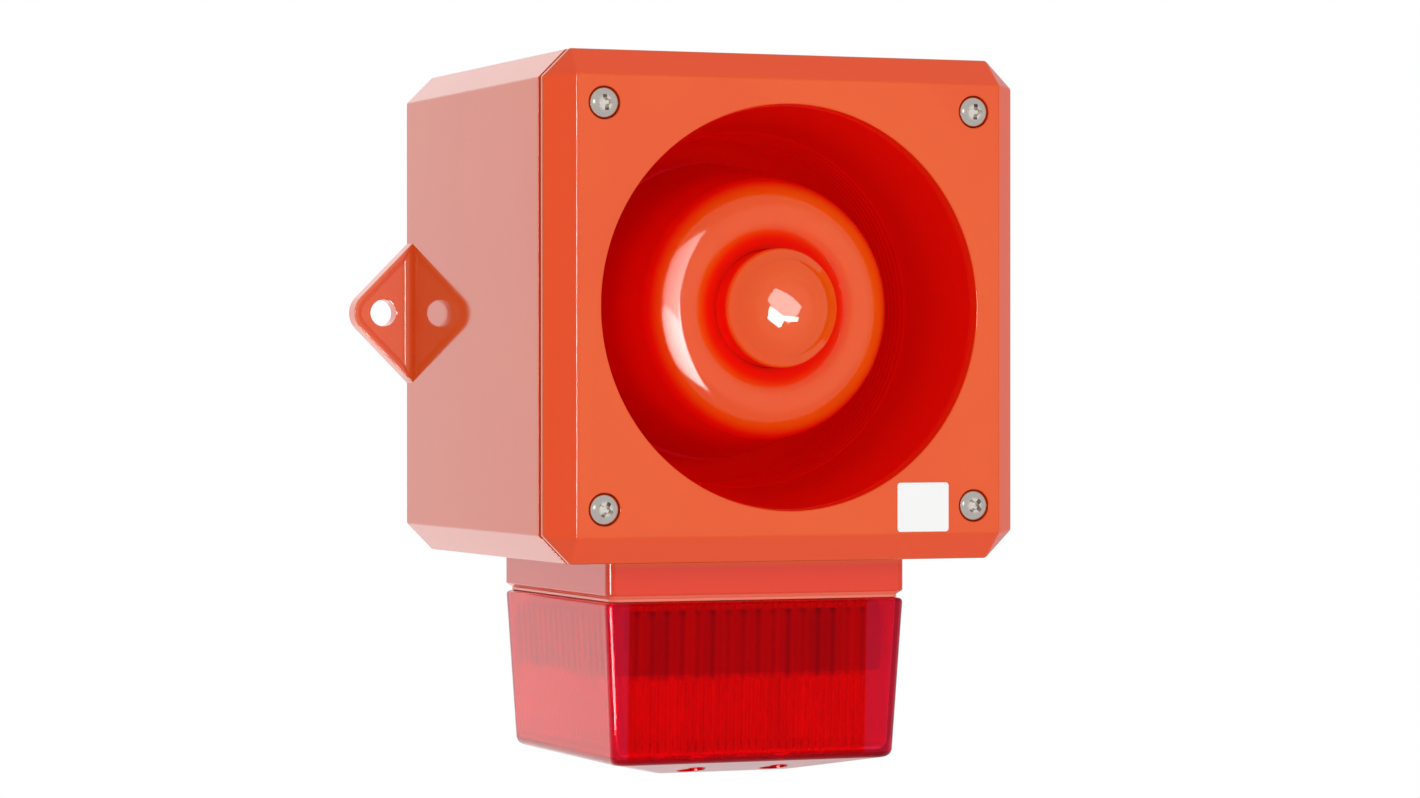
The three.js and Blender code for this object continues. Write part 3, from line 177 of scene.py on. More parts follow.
def moulded_plastic(name, colour, cloud_colour, roughness, spread=0.06, peel=0.012, glow=0.0):
    """Moulded plastic: clouds of a second tone, an uneven gloss and a fine orange peel."""
    material, tree, shader, place = start_material(name)
    clouds, flow, orange_peel = [
        add_node(tree, "ShaderNodeTexNoise", {"Vector": place, "Scale": 1 / size, "Detail": detail})
        for size, detail in ((CLOUD_MM, 3.0), (FLOW_MM, 4.0), (PEEL_MM, 2.0))
    ]
    edges = {"Value": clouds, "From Min": 0.35, "From Max": 0.65}
    patch = add_node(tree, "ShaderNodeMapRange", edges, interpolation_type="SMOOTHSTEP")
    low, high = roughness - spread / 2, roughness + spread / 2
    gloss = {"Value": flow, "From Min": 0.3, "From Max": 0.7, "To Min": low, "To Max": high}
    relief = {"Height": orange_peel, "Strength": 0.25, "Distance": peel * MM}
    constants = {"IOR": PLASTIC_IOR, "Subsurface Weight": glow}
    constants.update({"Subsurface Radius": GLOW_RADII, "Subsurface Scale": GLOW_MM * MM})
    finish_shader(shader, patch, (colour, cloud_colour), gloss, relief, constants)
    return material


# The first two mirror the room like the real gloss, and the two deep in the horn are redder and glow.
housing_abs = moulded_plastic("moulded orange-red ABS", "#E84F0D", "#EA550F", 0.06, 0.03)
horn_abs = moulded_plastic("polished orange-red ABS", "#F2560A", "#F45A0C", 0.12, 0.04, glow=0.8)
cap_abs = moulded_plastic("bright orange-red ABS", "#F2560E", "#F45A10", 0.03, 0.02, glow=0.5)
bell_abs = moulded_plastic("deep red ABS", "#F20E03", "#F41004", 0.12, 0.04, glow=0.5)
# The pieces inside are plain moulded parts, so a duller gloss and one even colour tell each from the rest.
black_nylon = moulded_plastic("moulded black nylon", "#1B1B1D", "#212123", 0.42)
white_nylon = moulded_plastic("moulded white nylon", "#E9E7E0", "#E2DFD6", 0.4)
green_pa = moulded_plastic("moulded green polyamide", "#2C7A4B", "#2F8350", 0.38)
switch_red_pa = moulded_plastic("moulded red switch body", "#A9241B", "#B22A20", 0.38)
trimmer_blue_pbt = moulded_plastic("moulded blue trimmer body", "#2257A8", "#285FB0", 0.35)
black_sleeve = moulded_plastic("shrunk black PVC sleeve", "#1C1F23", "#23262B", 0.25)
blue_sleeve = moulded_plastic("shrunk blue PVC sleeve", "#1F3A66", "#26426F", 0.25)
winding_tape = moulded_plastic("varnished dark core", "#3A3A3C", "#454547", 0.45)
phenolic_film = moulded_plastic("pressed phenolic film", "#B3A98F", "#A99E82", 0.45)
vinyl_white = moulded_plastic("white vinyl label", "#F6F6F6", "#F3F3F2", 0.3, 0.03, 0.004)
silicone_black = moulded_plastic("moulded black silicone", "#141414", "#191919", 0.6)
ferrite = moulded_plastic("sintered ferrite", "#26272A", "#303236", 0.6, 0.1, 0.05)
print(len(bpy.data.materials), "plastics")

# %% [markdown]
# Orange-red plastic isn't one colour to the eye. These tones are painted light and shade: paler where a
# surface catches more light, and redder where it lies in shade, as on the cup and deep in the horn. Lamps
# could draw that for one view only, so each tone turns at real distances from the middle instead, and stays
# put.

# %% Painted light and shade on the orange-red plastics
def share_between(material, axis, first, last, low=0.0, high=1.0):
    """A smooth step between two distances in mm from the middle, along X, Y or Z or as a radius about Y."""
    tree = material.node_tree
    place = tree.nodes[PLACE]
    if axis == "radius":
        flat = add_node(tree, "ShaderNodeVectorMath", {0: place, 1: (1, 0, 1)}, operation="MULTIPLY")
        away = add_node(tree, "ShaderNodeVectorMath", {0: flat}, operation="LENGTH").outputs["Value"]
    else:
        parts = add_node(tree, "ShaderNodeSeparateXYZ", {"Vector": place})
        away = add_node(tree, "ShaderNodeMath", {0: parts.outputs[axis]}, operation="ABSOLUTE")
    step = {"Value": away, "From Min": first, "From Max": last, "To Min": low, "To Max": high}
    return add_node(tree, "ShaderNodeMapRange", step, interpolation_type="SMOOTHSTEP")


def paint_light_and_shade(material, colour, *steps):
    """Paints a tone of light and shade into a plastic's colour where all the steps are done, each an axis
    and two distances.
    """
    tree = material.node_tree
    base = tree.nodes[SHADER].inputs["Base Color"]
    share = share_between(material, *steps[0])
    for step in steps[1:]:
        both = {0: share, 1: share_between(material, *step)}
        share = add_node(tree, "ShaderNodeMath", both, operation="MULTIPLY")
    mix = {"Factor": share, MIX_A: base.links[0].from_socket, MIX_B: linear(colour)}
    tree.links.new(add_node(tree, "ShaderNodeMix", mix, data_type="RGBA").outputs[MIX_RESULT], base)


PAINTED_LIGHT_AND_SHADE = [
    # Painted light on the lugs, which are paler; painted shade on the base, which is redder; and a painted
    # highlight along the base's foot, which is pale.
    (housing_abs, "#FF7F5C", ("X", 80.4, 84.0)),
    (housing_abs, "#E8380F", ("Z", 80.5, 83.0)),
    (housing_abs, "#F58068", ("Z", 90.9, 91.3)),
    # Painted shade on the lid's bevels, which are warmer so that they show less white, and painted light on
    # the wall of its mouth, a bright red in place of its shade.
    (housing_abs, "#F24A06", ("Y", 146.95, 146.4), ("Y", 138.6, 139.2)),
    (housing_abs, "#FA2A10", ("radius", 64.6, 64.2), ("Y", 142.0, 143.0), ("Y", 146.9, 146.4)),
    # Painted shade on the cup, red down its outside and in the valley round the cap and deeper red further
    # in, a painted highlight of magenta inside its rim, and painted shade red down the cap's side.
    (horn_abs, "#FA1203", ("Y", 132.0, 126.6)),
    (horn_abs, "#FA1203", ("radius", 27.2, 21.5)),
    (horn_abs, "#DC0902", ("Y", 122.0, 100.0)),
    (horn_abs, "#FF3A6A", ("Y", 81.0, 79.5)),
    (cap_abs, "#FA1203", ("Y", 139.2, 136.0)),
]
for material, colour, *steps in PAINTED_LIGHT_AND_SHADE:
    paint_light_and_shade(material, colour, *steps)
print(len(PAINTED_LIGHT_AND_SHADE), "tones")

# %% Painted glow on the bell
BELL_TINT = "#FF4030"
PAINTED_GLOW_RED = "#FF0402"
PAINTED_GLOW_FROM = 118.0
PAINTED_GLOW_TO = 96.0
PAINTED_GLOW_STRENGTH = 0.09
# Painted light: the bell glows with a faint red emission of its own, strongest deep in the horn, though it
# is no lamp.
painted_glow = share_between(bell_abs, "Y", PAINTED_GLOW_FROM, PAINTED_GLOW_TO, 0.0, PAINTED_GLOW_STRENGTH)
painted_glow_inputs = {"Emission Color": linear(PAINTED_GLOW_RED), "Emission Strength": painted_glow}
set_inputs(bell_abs.node_tree.nodes[SHADER], {"Specular Tint": linear(BELL_TINT), **painted_glow_inputs})
print("the bell glows by", PAINTED_GLOW_STRENGTH, "at most")

# %% [markdown]
# The screws are stainless steel and their heads were turned, so their grain runs in fine rings. Metal
# shows its colour in what it reflects, so most of the look comes from the white room around it. The
# driver's parts are die-cast alloy and zinc plated steel, each a little rougher.

# %% Metals
GRAIN_MM = 0.35


def metal(name, colour, dull_colour, roughness, grain_mm=GRAIN_MM, depth=0.01):
    """Bare or plated metal: a fine uneven grain in its gloss and in its surface."""
    material, tree, shader, place = start_material(name)
    grain = add_node(tree, "ShaderNodeTexNoise", {"Vector": place, "Scale": 1 / grain_mm, "Detail": 3.0})
    gloss = {"Value": grain, "To Min": roughness * 0.75, "To Max": roughness * 1.3}
    relief = {"Height": grain, "Strength": 0.3, "Distance": depth * MM}
    finish_shader(shader, grain, (colour, dull_colour), gloss, relief, {"Metallic": 1.0})
    return material


stainless = metal("turned stainless steel", "#EAE4DE", "#C6BDB4", 0.17)
cast_alloy = metal("die-cast zinc alloy", "#9C9DA0", "#85868A", 0.45, 0.8, 0.02)
zinc_plate = metal("zinc plated steel", "#C2C3BE", "#A9AAA4", 0.34, 2.5, 0.004)
copper_wire = metal("enamelled copper winding", "#B46E3C", "#8E4E27", 0.3, 0.3, 0.02)

# %% [markdown]
# The lens is clear red polycarbonate. Light goes in through one wall and out through another and is
# dyed each time, so the shader's colour is the dye of one wall. A little of it stays opaque, because the
# real dye glows at full depth, and its glints are tinted. The strobe's tube is clear quartz.

# %% Clear materials
POLYCARBONATE_IOR = 1.585
QUARTZ_IOR = 1.46
RED_CLEARNESS = 0.72
RED_GLINT = "#FF3030"


def clear_material(name, colour, ior, roughness, clearness=1.0):
    """A clear solid with a faint unevenness in its polish."""
    material, tree, shader, place = start_material(name)
    haze = add_node(tree, "ShaderNodeTexNoise", {"Vector": place, "Scale": 1 / FLOW_MM, "Detail": 3.0})
    polish = {"Value": haze, "To Min": roughness * 0.6, "To Max": roughness * 1.4}
    gloss = add_node(tree, "ShaderNodeMapRange", polish)
    constants = {"Base Color": linear(colour), "IOR": ior, "Transmission Weight": clearness}
    set_inputs(shader, {"Roughness": gloss, **constants})
    return material


lens_name = "clear red polycarbonate"
red_polycarbonate = clear_material(lens_name, "#F80006", POLYCARBONATE_IOR, 0.03, RED_CLEARNESS)
set_inputs(red_polycarbonate.node_tree.nodes[SHADER], {"Specular Tint": linear(RED_GLINT)})
quartz = clear_material("clear quartz glass", "#F4FAFB", QUARTZ_IOR, 0.01)

# %% [markdown]
# A circuit board is glass fibre cloth under green lacquer, with copper tracks that show as slightly
# lighter and raised lines. A brick pattern with long thin bricks gives tracks that run and end.

# %% Circuit board
TRACK_MM = 1.6
TRACKS = {"Mortar Size": 0.16, "Mortar Smooth": 0.3, "Brick Width": 7.0, "Row Height": 1.0}


def circuit_board(name):
    """Green lacquer over copper tracks, seen along X and across it on Y and Z."""
    material, tree, shader, place = start_material(name)
    parts = add_node(tree, "ShaderNodeSeparateXYZ", {"Vector": place}).outputs
    depth = add_node(tree, "ShaderNodeMath", {0: parts["Y"], 1: parts["Z"]}, operation="ADD")
    flat = add_node(tree, "ShaderNodeCombineXYZ", {"X": parts["X"], "Y": depth})
    bricks = {"Vector": flat, "Scale": 1 / TRACK_MM, **TRACKS}
    tracks = add_node(tree, "ShaderNodeTexBrick", bricks, offset=0.37).outputs["Fac"]
    relief = {"Height": tracks, "Strength": 0.4, "Distance": 0.05 * MM}
    finish_shader(shader, tracks, ("#1D6A3C", "#12502B"), 0.28, relief, invert=True)
    return material


green_board = circuit_board("lacquered circuit board")
print(len(bpy.data.materials), "materials")

# %% [markdown]
# Shapes come next. Round pieces are a profile turned about the box's front-to-back axis. Boxy mouldings
# are lofts: closed rings of points, joined ring to ring, so that every edge can carry its own small
# radius. Real mouldings have no sharp edges, and the thin bright line along each edge comes from that.

# %% Nodes of the model
def corners(node):
    """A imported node's lowest and highest corners in millimetres."""
    low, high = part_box(node)
    return Vector(low) / MM, Vector(high) / MM


def middle(node):
    low, high = corners(node)
    return (low + high) / 2


def numbered(stem, count):
    return [f"{stem}_{i}" for i in range(1, count + 1)]


COVER_SCREWS = numbered("cover_screw", 4)
BEACON_SCREWS = numbered("beacon_screw", 4)
LENS_SCREWS = numbered("lens_screw", 4)
DRIVER_SCREWS = numbered("driver_screw", 3)
BOARD_SCREWS = numbered("board_screw", 2)
STROBE_SCREWS = numbered("strobe_board_screw", 2)
ENTRIES = ["entry_plug_front", "entry_plug_rear"]

# %% Lofts and turned pieces
def link_object(name, mesh):
    piece = bpy.data.objects.new(name, mesh)
    scene.collection.objects.link(piece)
    return piece


def make_mesh(name, points, faces):
    """A mesh object from points in millimetres, with its faces turned outwards."""
    mesh = bpy.data.meshes.new(name)
    mesh.from_pydata([[c * MM for c in point] for point in points], [], faces)
    form = bmesh.new()
    form.from_mesh(mesh)
    bmesh.ops.remove_doubles(form, verts=form.verts, dist=1e-7)
    bmesh.ops.recalc_face_normals(form, faces=form.faces)
    form.to_mesh(mesh)
    form.free()
    return link_object(name, mesh)


def loft(name, rings, closed=False):
    """Joins rings of points one to the next. Open ends are capped, and a closed loft joins up instead."""
    count = len(rings[0])
    points = [point for ring in rings for point in ring]
    pairs = list(zip(range(len(rings)), range(1, len(rings))))
    if closed:
        pairs.append((len(rings) - 1, 0))
    faces = []
    for a, b in pairs:
        for i in range(count):
            j = (i + 1) % count
            faces.append((a * count + i, a * count + j, b * count + j, b * count + i))
    if not closed:
        faces.append(tuple(range(count)))
        faces.append(tuple(range((len(rings) - 1) * count, len(rings) * count)))
    return make_mesh(name, points, faces)


def turned(name, profile, closed=True, segments=144, axis="Y", centre=(0, 0, 0)):
    """Turns a profile of (radius, place) about an axis. An open profile starts and ends on the axis."""
    shift = [0 if own == axis else c for own, c in zip("XYZ", centre)]
    rings = []
    for radius, place in profile:
        ring = []
        for i in range(segments):
            t = 2 * math.pi * i / segments
            u, v = radius * math.cos(t), radius * math.sin(t)
            point = {"X": (place, u, v), "Y": (u, place, v), "Z": (u, v, place)}[axis]
            ring.append([p + c for p, c in zip(point, shift)])
        rings.append(ring)
    return loft(name, rings, closed)


def cylinder(name, radius, start, end, axis="Y", centre=(0, 0, 0), segments=48):
    profile = [(0, start), (radius, start), (radius, end), (0, end)]
    return turned(name, profile, False, segments, axis, centre)


def rods(nodes, radius, start, end, axis="Y", segments=48):
    """A round rod through the middle of each node."""
    return [cylinder("rod", radius, start, end, axis, middle(node), segments) for node in nodes]

# %% Outlines
def arc(centre_u, centre_v, radius, start, end, steps):
    """Points of an arc in degrees, both ends included."""
    angles = [math.radians(start + (end - start) * i / steps) for i in range(steps + 1)]
    return [(centre_u + radius * math.cos(a), centre_v + radius * math.sin(a)) for a in angles]


def round_edge(inset, place, radius, outwards, steps=3):
    """Insets and places round a quarter edge. outwards is +1 where the wall runs on to higher places."""
    quarter = [math.pi / 2 * i / steps for i in range(steps + 1)]
    rise = outwards * radius
    return [(inset + radius * (1 - math.sin(t)), place + rise * (1 - math.cos(t))) for t in quarter]


def rounded(corner_points, radii, steps=5):
    """A flat polygon whose corners are rounded, each by its own radius."""
    outline = []
    count = len(corner_points)
    for i, (u, v) in enumerate(corner_points):
        here = Vector((u, v))
        before = (Vector(corner_points[i - 1]) - here).normalized()
        after = (Vector(corner_points[(i + 1) % count]) - here).normalized()
        half = before.angle(after) / 2
        reach = radii[i] / math.tan(half)
        pivot = here + (before + after).normalized() * (radii[i] / math.sin(half))
        first, last = here + before * reach - pivot, here + after * reach - pivot
        sweep = first.angle_signed(last)
        for k in range(steps + 1):
            arm = Matrix.Rotation(-sweep * k / steps, 2) @ first
            outline.append(tuple(pivot + arm))
    return outline


def eased(points, steps=3):
    """A profile whose corners are rounded where a point has a third number, the radius."""
    outline = []
    count = len(points)
    for i, point in enumerate(points):
        if len(point) == 2:
            outline.append(point)
            continue
        three = [points[i - 1][:2], point[:2], points[(i + 1) % count][:2]]
        outline += rounded(three, [0.001, point[2], 0.001], steps)[steps + 1 : 2 * steps + 2]
    return outline


def at_y(outline, y):
    return [(x, y, z) for x, z in outline]


def flat_ring(low, high, inset, z, radius, steps=4):
    """A rectangle between two corners as a ring at one height, drawn in evenly, with round corners."""
    x0, x1, y0, y1 = low[0] + inset, high[0] - inset, low[1] + inset, high[1] - inset
    outline = rounded([(x1, y1), (x0, y1), (x0, y0), (x1, y0)], [radius] * 4, steps)
    return [(x, y, z) for x, y in outline]


def block(name, low, high):
    """A box between two corners."""
    side = [(low[0], low[2]), (high[0], low[2]), (high[0], high[2]), (low[0], high[2])]
    return loft(name, [at_y(side, low[1]), at_y(side, high[1])])

# %% Joining, cutting and placing
def gather(name, pieces):
    """Puts pieces that don't touch each other into one mesh."""
    form = bmesh.new()
    for piece in pieces:
        form.from_mesh(piece.data)
        bpy.data.objects.remove(piece)
    mesh = bpy.data.meshes.new(name)
    form.to_mesh(mesh)
    form.free()
    return link_object(name, mesh)


def bake_modifiers(piece):
    """Replaces a piece's mesh by its evaluated one and removes the modifiers."""
    bpy.context.view_layer.update()
    graph = bpy.context.evaluated_depsgraph_get()
    mesh = bpy.data.meshes.new_from_object(piece.evaluated_get(graph))
    piece.modifiers.clear()
    piece.data = mesh
    return piece


def boolean(piece, tools, operation):
    """Joins the tools to a piece or cuts them out of it, and removes them."""
    for tool in tools:
        step = piece.modifiers.new(tool.name, "BOOLEAN")
        step.operation = operation
        step.solver = "EXACT"
        step.object = tool
    bake_modifiers(piece)
    for tool in tools:
        bpy.data.objects.remove(tool)
    return piece


def soften(piece, width, angle=30, steps=3):
    """Rounds every edge sharper than an angle, as a mould does."""
    step = piece.modifiers.new("soften", "BEVEL")
    step.width = width * MM
    step.segments = steps
    step.limit_method = "ANGLE"
    step.angle_limit = math.radians(angle)
    return bake_modifiers(piece)


def place_piece(piece, body, material, slot, *nodes, smooth_angle=35):
    """Gives a finished piece its material, its smooth faces and its body, and hides the nodes it stands for.

    Weighted normals let a large flat face keep its own direction beside the small faces of its edges.
    """
    piece.data.materials.clear()
    piece.data.materials.append(material)
    piece.data.shade_smooth()
    piece.data.set_sharp_from_angle(angle=math.radians(smooth_angle))
    even = piece.modifiers.new("even", "WEIGHTED_NORMAL")
    even.keep_sharp = True
    even.weight = 100
    bake_modifiers(piece)
    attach(piece, body)
    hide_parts(*nodes)
    print(piece.name, len(piece.data.polygons), "faces")
    return piece

# %% [markdown]
# The box is one deep moulding: a square with cut corners, open at the front, with four screw pillars
# that webs tie to the walls, and a lug on each side for the wall screws. It could be a solid with a
# bevel on every edge, but a bevel goes wrong where thin webs meet. So the shell is a loft that carries
# its own edge radii, and the pillars, webs, bosses and lugs are joined to it afterwards.

# %% Sizes of the box
LID_LOW, LID_HIGH = corners("front_cover")
HALF = LID_HIGH.x
FRONT = LID_LOW.y
CORNER = 9.0
WALL = 3.5
BACK_WALL = 4.0
BEVEL_INSET = 8.35
BEVEL_DEPTH = 8.6
LID_BAND = 2.1
LID_FRONT_WALL = 4.0
RUN = 0.3
SEAT = 0.1
PAST = 1.0
FLAT_HALF = HALF - BEVEL_INSET
BEVEL_Y = FRONT + BEVEL_DEPTH
LID_REAR_Y = BEVEL_Y + LID_BAND
RIM_Y = corners("cover_gasket")[1].y + SEAT
SHARP = 0.05
EDGE_R = 0.7
CORNER_R = 1.2


def flat_of(inset):
    """Half the box's width and half its flat side, where the outline is drawn in by an even distance."""
    half = HALF - inset
    return half, half - (CORNER - inset * (2 - math.sqrt(2)))


def box_outline(inset, radius):
    """The square with cut corners, drawn in by an even distance, as points in X and Z."""
    half, flat = flat_of(inset)
    right = [(half, -flat), (half, flat), (flat, half), (-flat, half)]
    left = [(-half, flat), (-half, -flat), (-flat, -half), (flat, -half)]
    return rounded(right + left, [radius] * 8, 3)


# %% The box shell
levels = round_edge(0, 0, EDGE_R, -1) + round_edge(0, RIM_Y, EDGE_R / 2, 1)[::-1]
levels += [(WALL - EDGE_R / 2, RIM_Y), (WALL, RIM_Y + EDGE_R / 2)]
levels += [(WALL, -BACK_WALL - CORNER_R), (WALL + CORNER_R / 3, -BACK_WALL - CORNER_R / 3)]
levels.append((WALL + CORNER_R, -BACK_WALL))
box_shell = loft("box_shell", [at_y(box_outline(inset, CORNER_R), y) for inset, y in levels])
print("shell depth", round(-RIM_Y, 1))

# %% Pillars, webs and bosses
PILLAR_R = 6.5
WEB_HALF = 1.5
WEB_SETBACK = 2.0
ENTRY_BOSS_R = 13.7
ENTRY_BOSS_LENGTH = 6.0
STANDOFF_R = 3.2
STANDOFF_LENGTH = 6.0
BOARD_SCREW_INSET = 5.0
wall_inside = HALF - WALL / 2
entry_boss_x = HALF - WALL - ENTRY_BOSS_LENGTH
front, back = RIM_Y + WEB_SETBACK, -BACK_WALL + PAST
ribs = []
for name in COVER_SCREWS:
    spot = middle(name)
    ribs += rods([name], PILLAR_R, back, RIM_Y)
    low, high = sorted((spot.x, math.copysign(wall_inside, spot.x)))
    ribs.append(block("web", (low, front, spot.z - WEB_HALF), (high, back, spot.z + WEB_HALF)))
    low, high = sorted((spot.z, math.copysign(wall_inside, spot.z)))
    ribs.append(block("web", (spot.x - WEB_HALF, front, low), (spot.x + WEB_HALF, back, high)))
ribs += rods(ENTRIES, ENTRY_BOSS_R, entry_boss_x, HALF - PAST, "X")
board_low, board_high = corners("control_board")
standoffs = [
    (side * (board_high.x - BOARD_SCREW_INSET), 0, z)
    for side in (-1, 1)
    for z in (board_low.z + BOARD_SCREW_INSET, board_high.z - BOARD_SCREW_INSET)
]
standoff_y = -BACK_WALL - STANDOFF_LENGTH
ribs += [cylinder("standoff", STANDOFF_R, back, standoff_y, "Y", spot, 32) for spot in standoffs]
boolean(box_shell, ribs, "UNION")
print(len(ribs), "ribs and bosses")

# %% [markdown]
# Each lug is a flat triangle whose edges run out at 45 degrees to a round tip. Its middle is sunk by a
# millimetre, so a rim runs all round it, and the wall screw goes through a plain hole near the tip. The
# sunk middle's wall slopes, as the photo shows it as a band of its own and a mould needs some draft.

# %% Wall lugs
LUG_THICKNESS = 7.2
LUG_ROOT = 23.5
LUG_TIP_R = 7.5
LUG_RIM = 2.3
LUG_SUNK = 1.0
LUG_HOLE_R = 4.5
LUG_HOLE_OUT = 10.0
LUG_EDGE = 0.5
LUG_SLOPE = 1.15
SLOPE_KNEE = 0.85
SLOPE_TOP = 1.1
LUG_FLOOR_Y = -LUG_THICKNESS + LUG_SUNK


def lug_outline(side, inset, root_x):
    """The lug's outline in X and Z, drawn in by an even distance."""
    apex = HALF + LUG_ROOT - inset * math.sqrt(2)
    half = apex - max(root_x, HALF)
    points = [(root_x, -half), (apex, 0), (root_x, half)]
    radii = [SHARP, LUG_TIP_R - inset, SHARP]
    if root_x < HALF:
        points = [(root_x, -half), (HALF, -half), (apex, 0), (HALF, half), (root_x, half)]
        radii = [SHARP, SHARP, LUG_TIP_R - inset, SHARP, SHARP]
    return [(side * x, z) for x, z in rounded(points, radii, 10)]


def lug(side):
    profile = round_edge(0, 0, LUG_EDGE, -1) + round_edge(0, -LUG_THICKNESS, LUG_EDGE, 1)[::-1]
    return loft("lug", [at_y(lug_outline(side, inset, wall_inside), y) for inset, y in profile])


def lug_recess(side):
    """The cutter for the sunk middle: a soft floor edge, and a wall that slopes out as far as the rim."""
    knee, top = LUG_SLOPE * SLOPE_KNEE, LUG_SLOPE * SLOPE_TOP
    wall = [(RUN, LUG_FLOOR_Y), (0, LUG_FLOOR_Y - RUN), (-knee, LUG_FLOOR_Y - LUG_SUNK * SLOPE_KNEE)]
    wall += [(-top, -LUG_THICKNESS - SHARP), (-top, -LUG_THICKNESS - PAST)]
    root_x = HALF + LUG_RIM
    return loft("recess", [at_y(lug_outline(side, LUG_RIM + inset, root_x + inset), y) for inset, y in wall])


def lug_hole(side):
    wide = LUG_HOLE_R + RUN
    profile = [(0, PAST), (wide, PAST), (wide, -SHARP), (LUG_HOLE_R, -RUN), (LUG_HOLE_R, LUG_FLOOR_Y + RUN)]
    end = LUG_FLOOR_Y - PAST - LUG_SUNK
    profile += [(wide, LUG_FLOOR_Y + SHARP), (wide, end), (0, end)]
    return turned("hole", profile, False, 64, "Y", (side * (HALF + LUG_HOLE_OUT), 0, 0))


boolean(box_shell, [lug(-1), lug(1)], "UNION")
boolean(box_shell, [gather("recesses", [lug_recess(-1), lug_recess(1)])], "DIFFERENCE")
print("lugs reach", round(HALF + LUG_ROOT, 1), "before their tips are rounded")

# %% Holes through the box
PILOT_R = 2.8
PILOT_DEPTH = 30.0
ENTRY_R = 10.3
STANDOFF_HOLE_R = 1.8
BEACON_HOLE_R = 2.3
WIRE_HOLE_R = 6.0
floor_from, floor_to = -HALF - PAST, -HALF + WALL + PAST
holes = [lug_hole(-1), lug_hole(1)]
holes += rods(COVER_SCREWS, PILOT_R, RIM_Y - PAST, RIM_Y + PILOT_DEPTH, "Y", 32)
holes += rods(ENTRIES, ENTRY_R, entry_boss_x - PAST, HALF + PAST, "X", 64)
bore_y = standoff_y - PAST
holes += [cylinder("hole", STANDOFF_HOLE_R, bore_y, -BACK_WALL, "Y", spot, 24) for spot in standoffs]
holes += rods(BEACON_SCREWS, BEACON_HOLE_R, floor_from, floor_to, "Z", 24)
holes += rods(["wire_grommet"], WIRE_HOLE_R, floor_from, floor_to, "Z", 48)
boolean(box_shell, [gather("holes", holes)], "DIFFERENCE")
place_piece(box_shell, "root", housing_abs, "housing_red", "rear_housing")

# %% [markdown]
# The lid is a shallow tray with a bevelled front, and the horn's mouth is cut through it. Its block has
# few edges that all meet cleanly, so here Blender's Bevel does well, before anything is cut out. The
# cutters flare a little at the surface, which leaves a round lip round the mouth and each screw recess.

# %% The lid
MOUTH_R = 63.85
MOUTH_LIP = 0.5
RECESS_R = 5.16
RECESS_DEPTH = 1.9
RECESS_LIP = 0.35
LID_INNER_STEP = 0.65
LID_EDGE = 0.5


def bevelled_block(name, inset, rear_y, front_half, front_y):
    """The lid's block: an octagon at the back, and a sharp square at the front."""
    square = [(1, -1), (1, 1), (1, 1), (-1, 1), (-1, 1), (-1, -1), (-1, -1), (1, -1)]
    half, flat = flat_of(inset)
    octagon = [(half, -flat), (half, flat), (flat, half), (-flat, half)]
    octagon += [(-x, -z) for x, z in octagon]
    front = [(front_half * x, front_half * z) for x, z in square]
    return loft(name, [at_y(octagon, rear_y), at_y(octagon, BEVEL_Y), at_y(front, front_y)])


def lipped_hole(name, radius, depth, lip, centre, segments):
    """A round cutter from the lid's front whose edge leaves a round lip."""
    flare = arc(radius + lip, FRONT + lip, lip, 260, 180, 6)
    top = [(0, FRONT - PAST), (flare[0][0], FRONT - PAST)]
    end = [(radius, FRONT + depth), (0, FRONT + depth)]
    return turned(name, top + flare + end, False, segments, "Y", centre)


lid = soften(bevelled_block("lid", 0, LID_REAR_Y, FLAT_HALF, FRONT), LID_EDGE, 15)
hollow_y = FRONT + LID_FRONT_WALL
hollow = bevelled_block("hollow", WALL, LID_REAR_Y + PAST, FLAT_HALF - LID_INNER_STEP, hollow_y)
boolean(lid, [hollow], "DIFFERENCE")
pillars = rods(COVER_SCREWS, PILLAR_R, FRONT + PAST, LID_HIGH.y)
recess_spots = [middle(name) for name in COVER_SCREWS]
cutters = [lipped_hole("recess", RECESS_R, RECESS_DEPTH, RECESS_LIP, spot, 64) for spot in recess_spots]
cutters.append(lipped_hole("mouth", MOUTH_R, LID_FRONT_WALL + PAST, MOUTH_LIP, (0, 0, 0), 192))
pilots = rods(COVER_SCREWS, PILOT_R, FRONT, RIM_Y, "Y", 32)
boolean(lid, [gather("pillars", pillars)], "UNION")
boolean(lid, [gather("cutters", cutters), gather("pilots", pilots)], "DIFFERENCE")
place_piece(lid, "cover", housing_abs, "housing_red", "front_cover")

# %% [markdown]
# A rubber cord lies between the box and the lid and shows as a thin dark line round the side. It is a
# plain ring here, with its outer edge rounded, because only that edge is ever seen.

# %% Lid gasket
GASKET_INSET = 1.8
GASKET_ROUND = 0.4
seal_low, seal_high = [corner.y for corner in corners("cover_gasket")]
seal_mid = (seal_low + seal_high) / 2
seal_half = (seal_high - seal_low) / 2
seal_levels = [
    (GASKET_INSET + GASKET_ROUND, seal_low),
    (GASKET_INSET, seal_mid - seal_half / 2),
    (GASKET_INSET, seal_mid + seal_half / 2),
    (GASKET_INSET + GASKET_ROUND, seal_high),
    (WALL, seal_high),
    (WALL, seal_low),
]
lid_seal = loft("lid_seal", [at_y(box_outline(inset, 1.0), y) for inset, y in seal_levels], closed=True)
place_piece(lid_seal, "root", silicone_black, "seal_rubber", "cover_gasket")

# %% [markdown]
# The horn folds its sound path: air leaves the driver, turns back inside a cup and comes out between
# the cup and this bell. Its wall shows fine turned rings where the cup's rim comes nearest. The bell is
# a profile of real distances behind the lid's front, turned about the horn's axis.

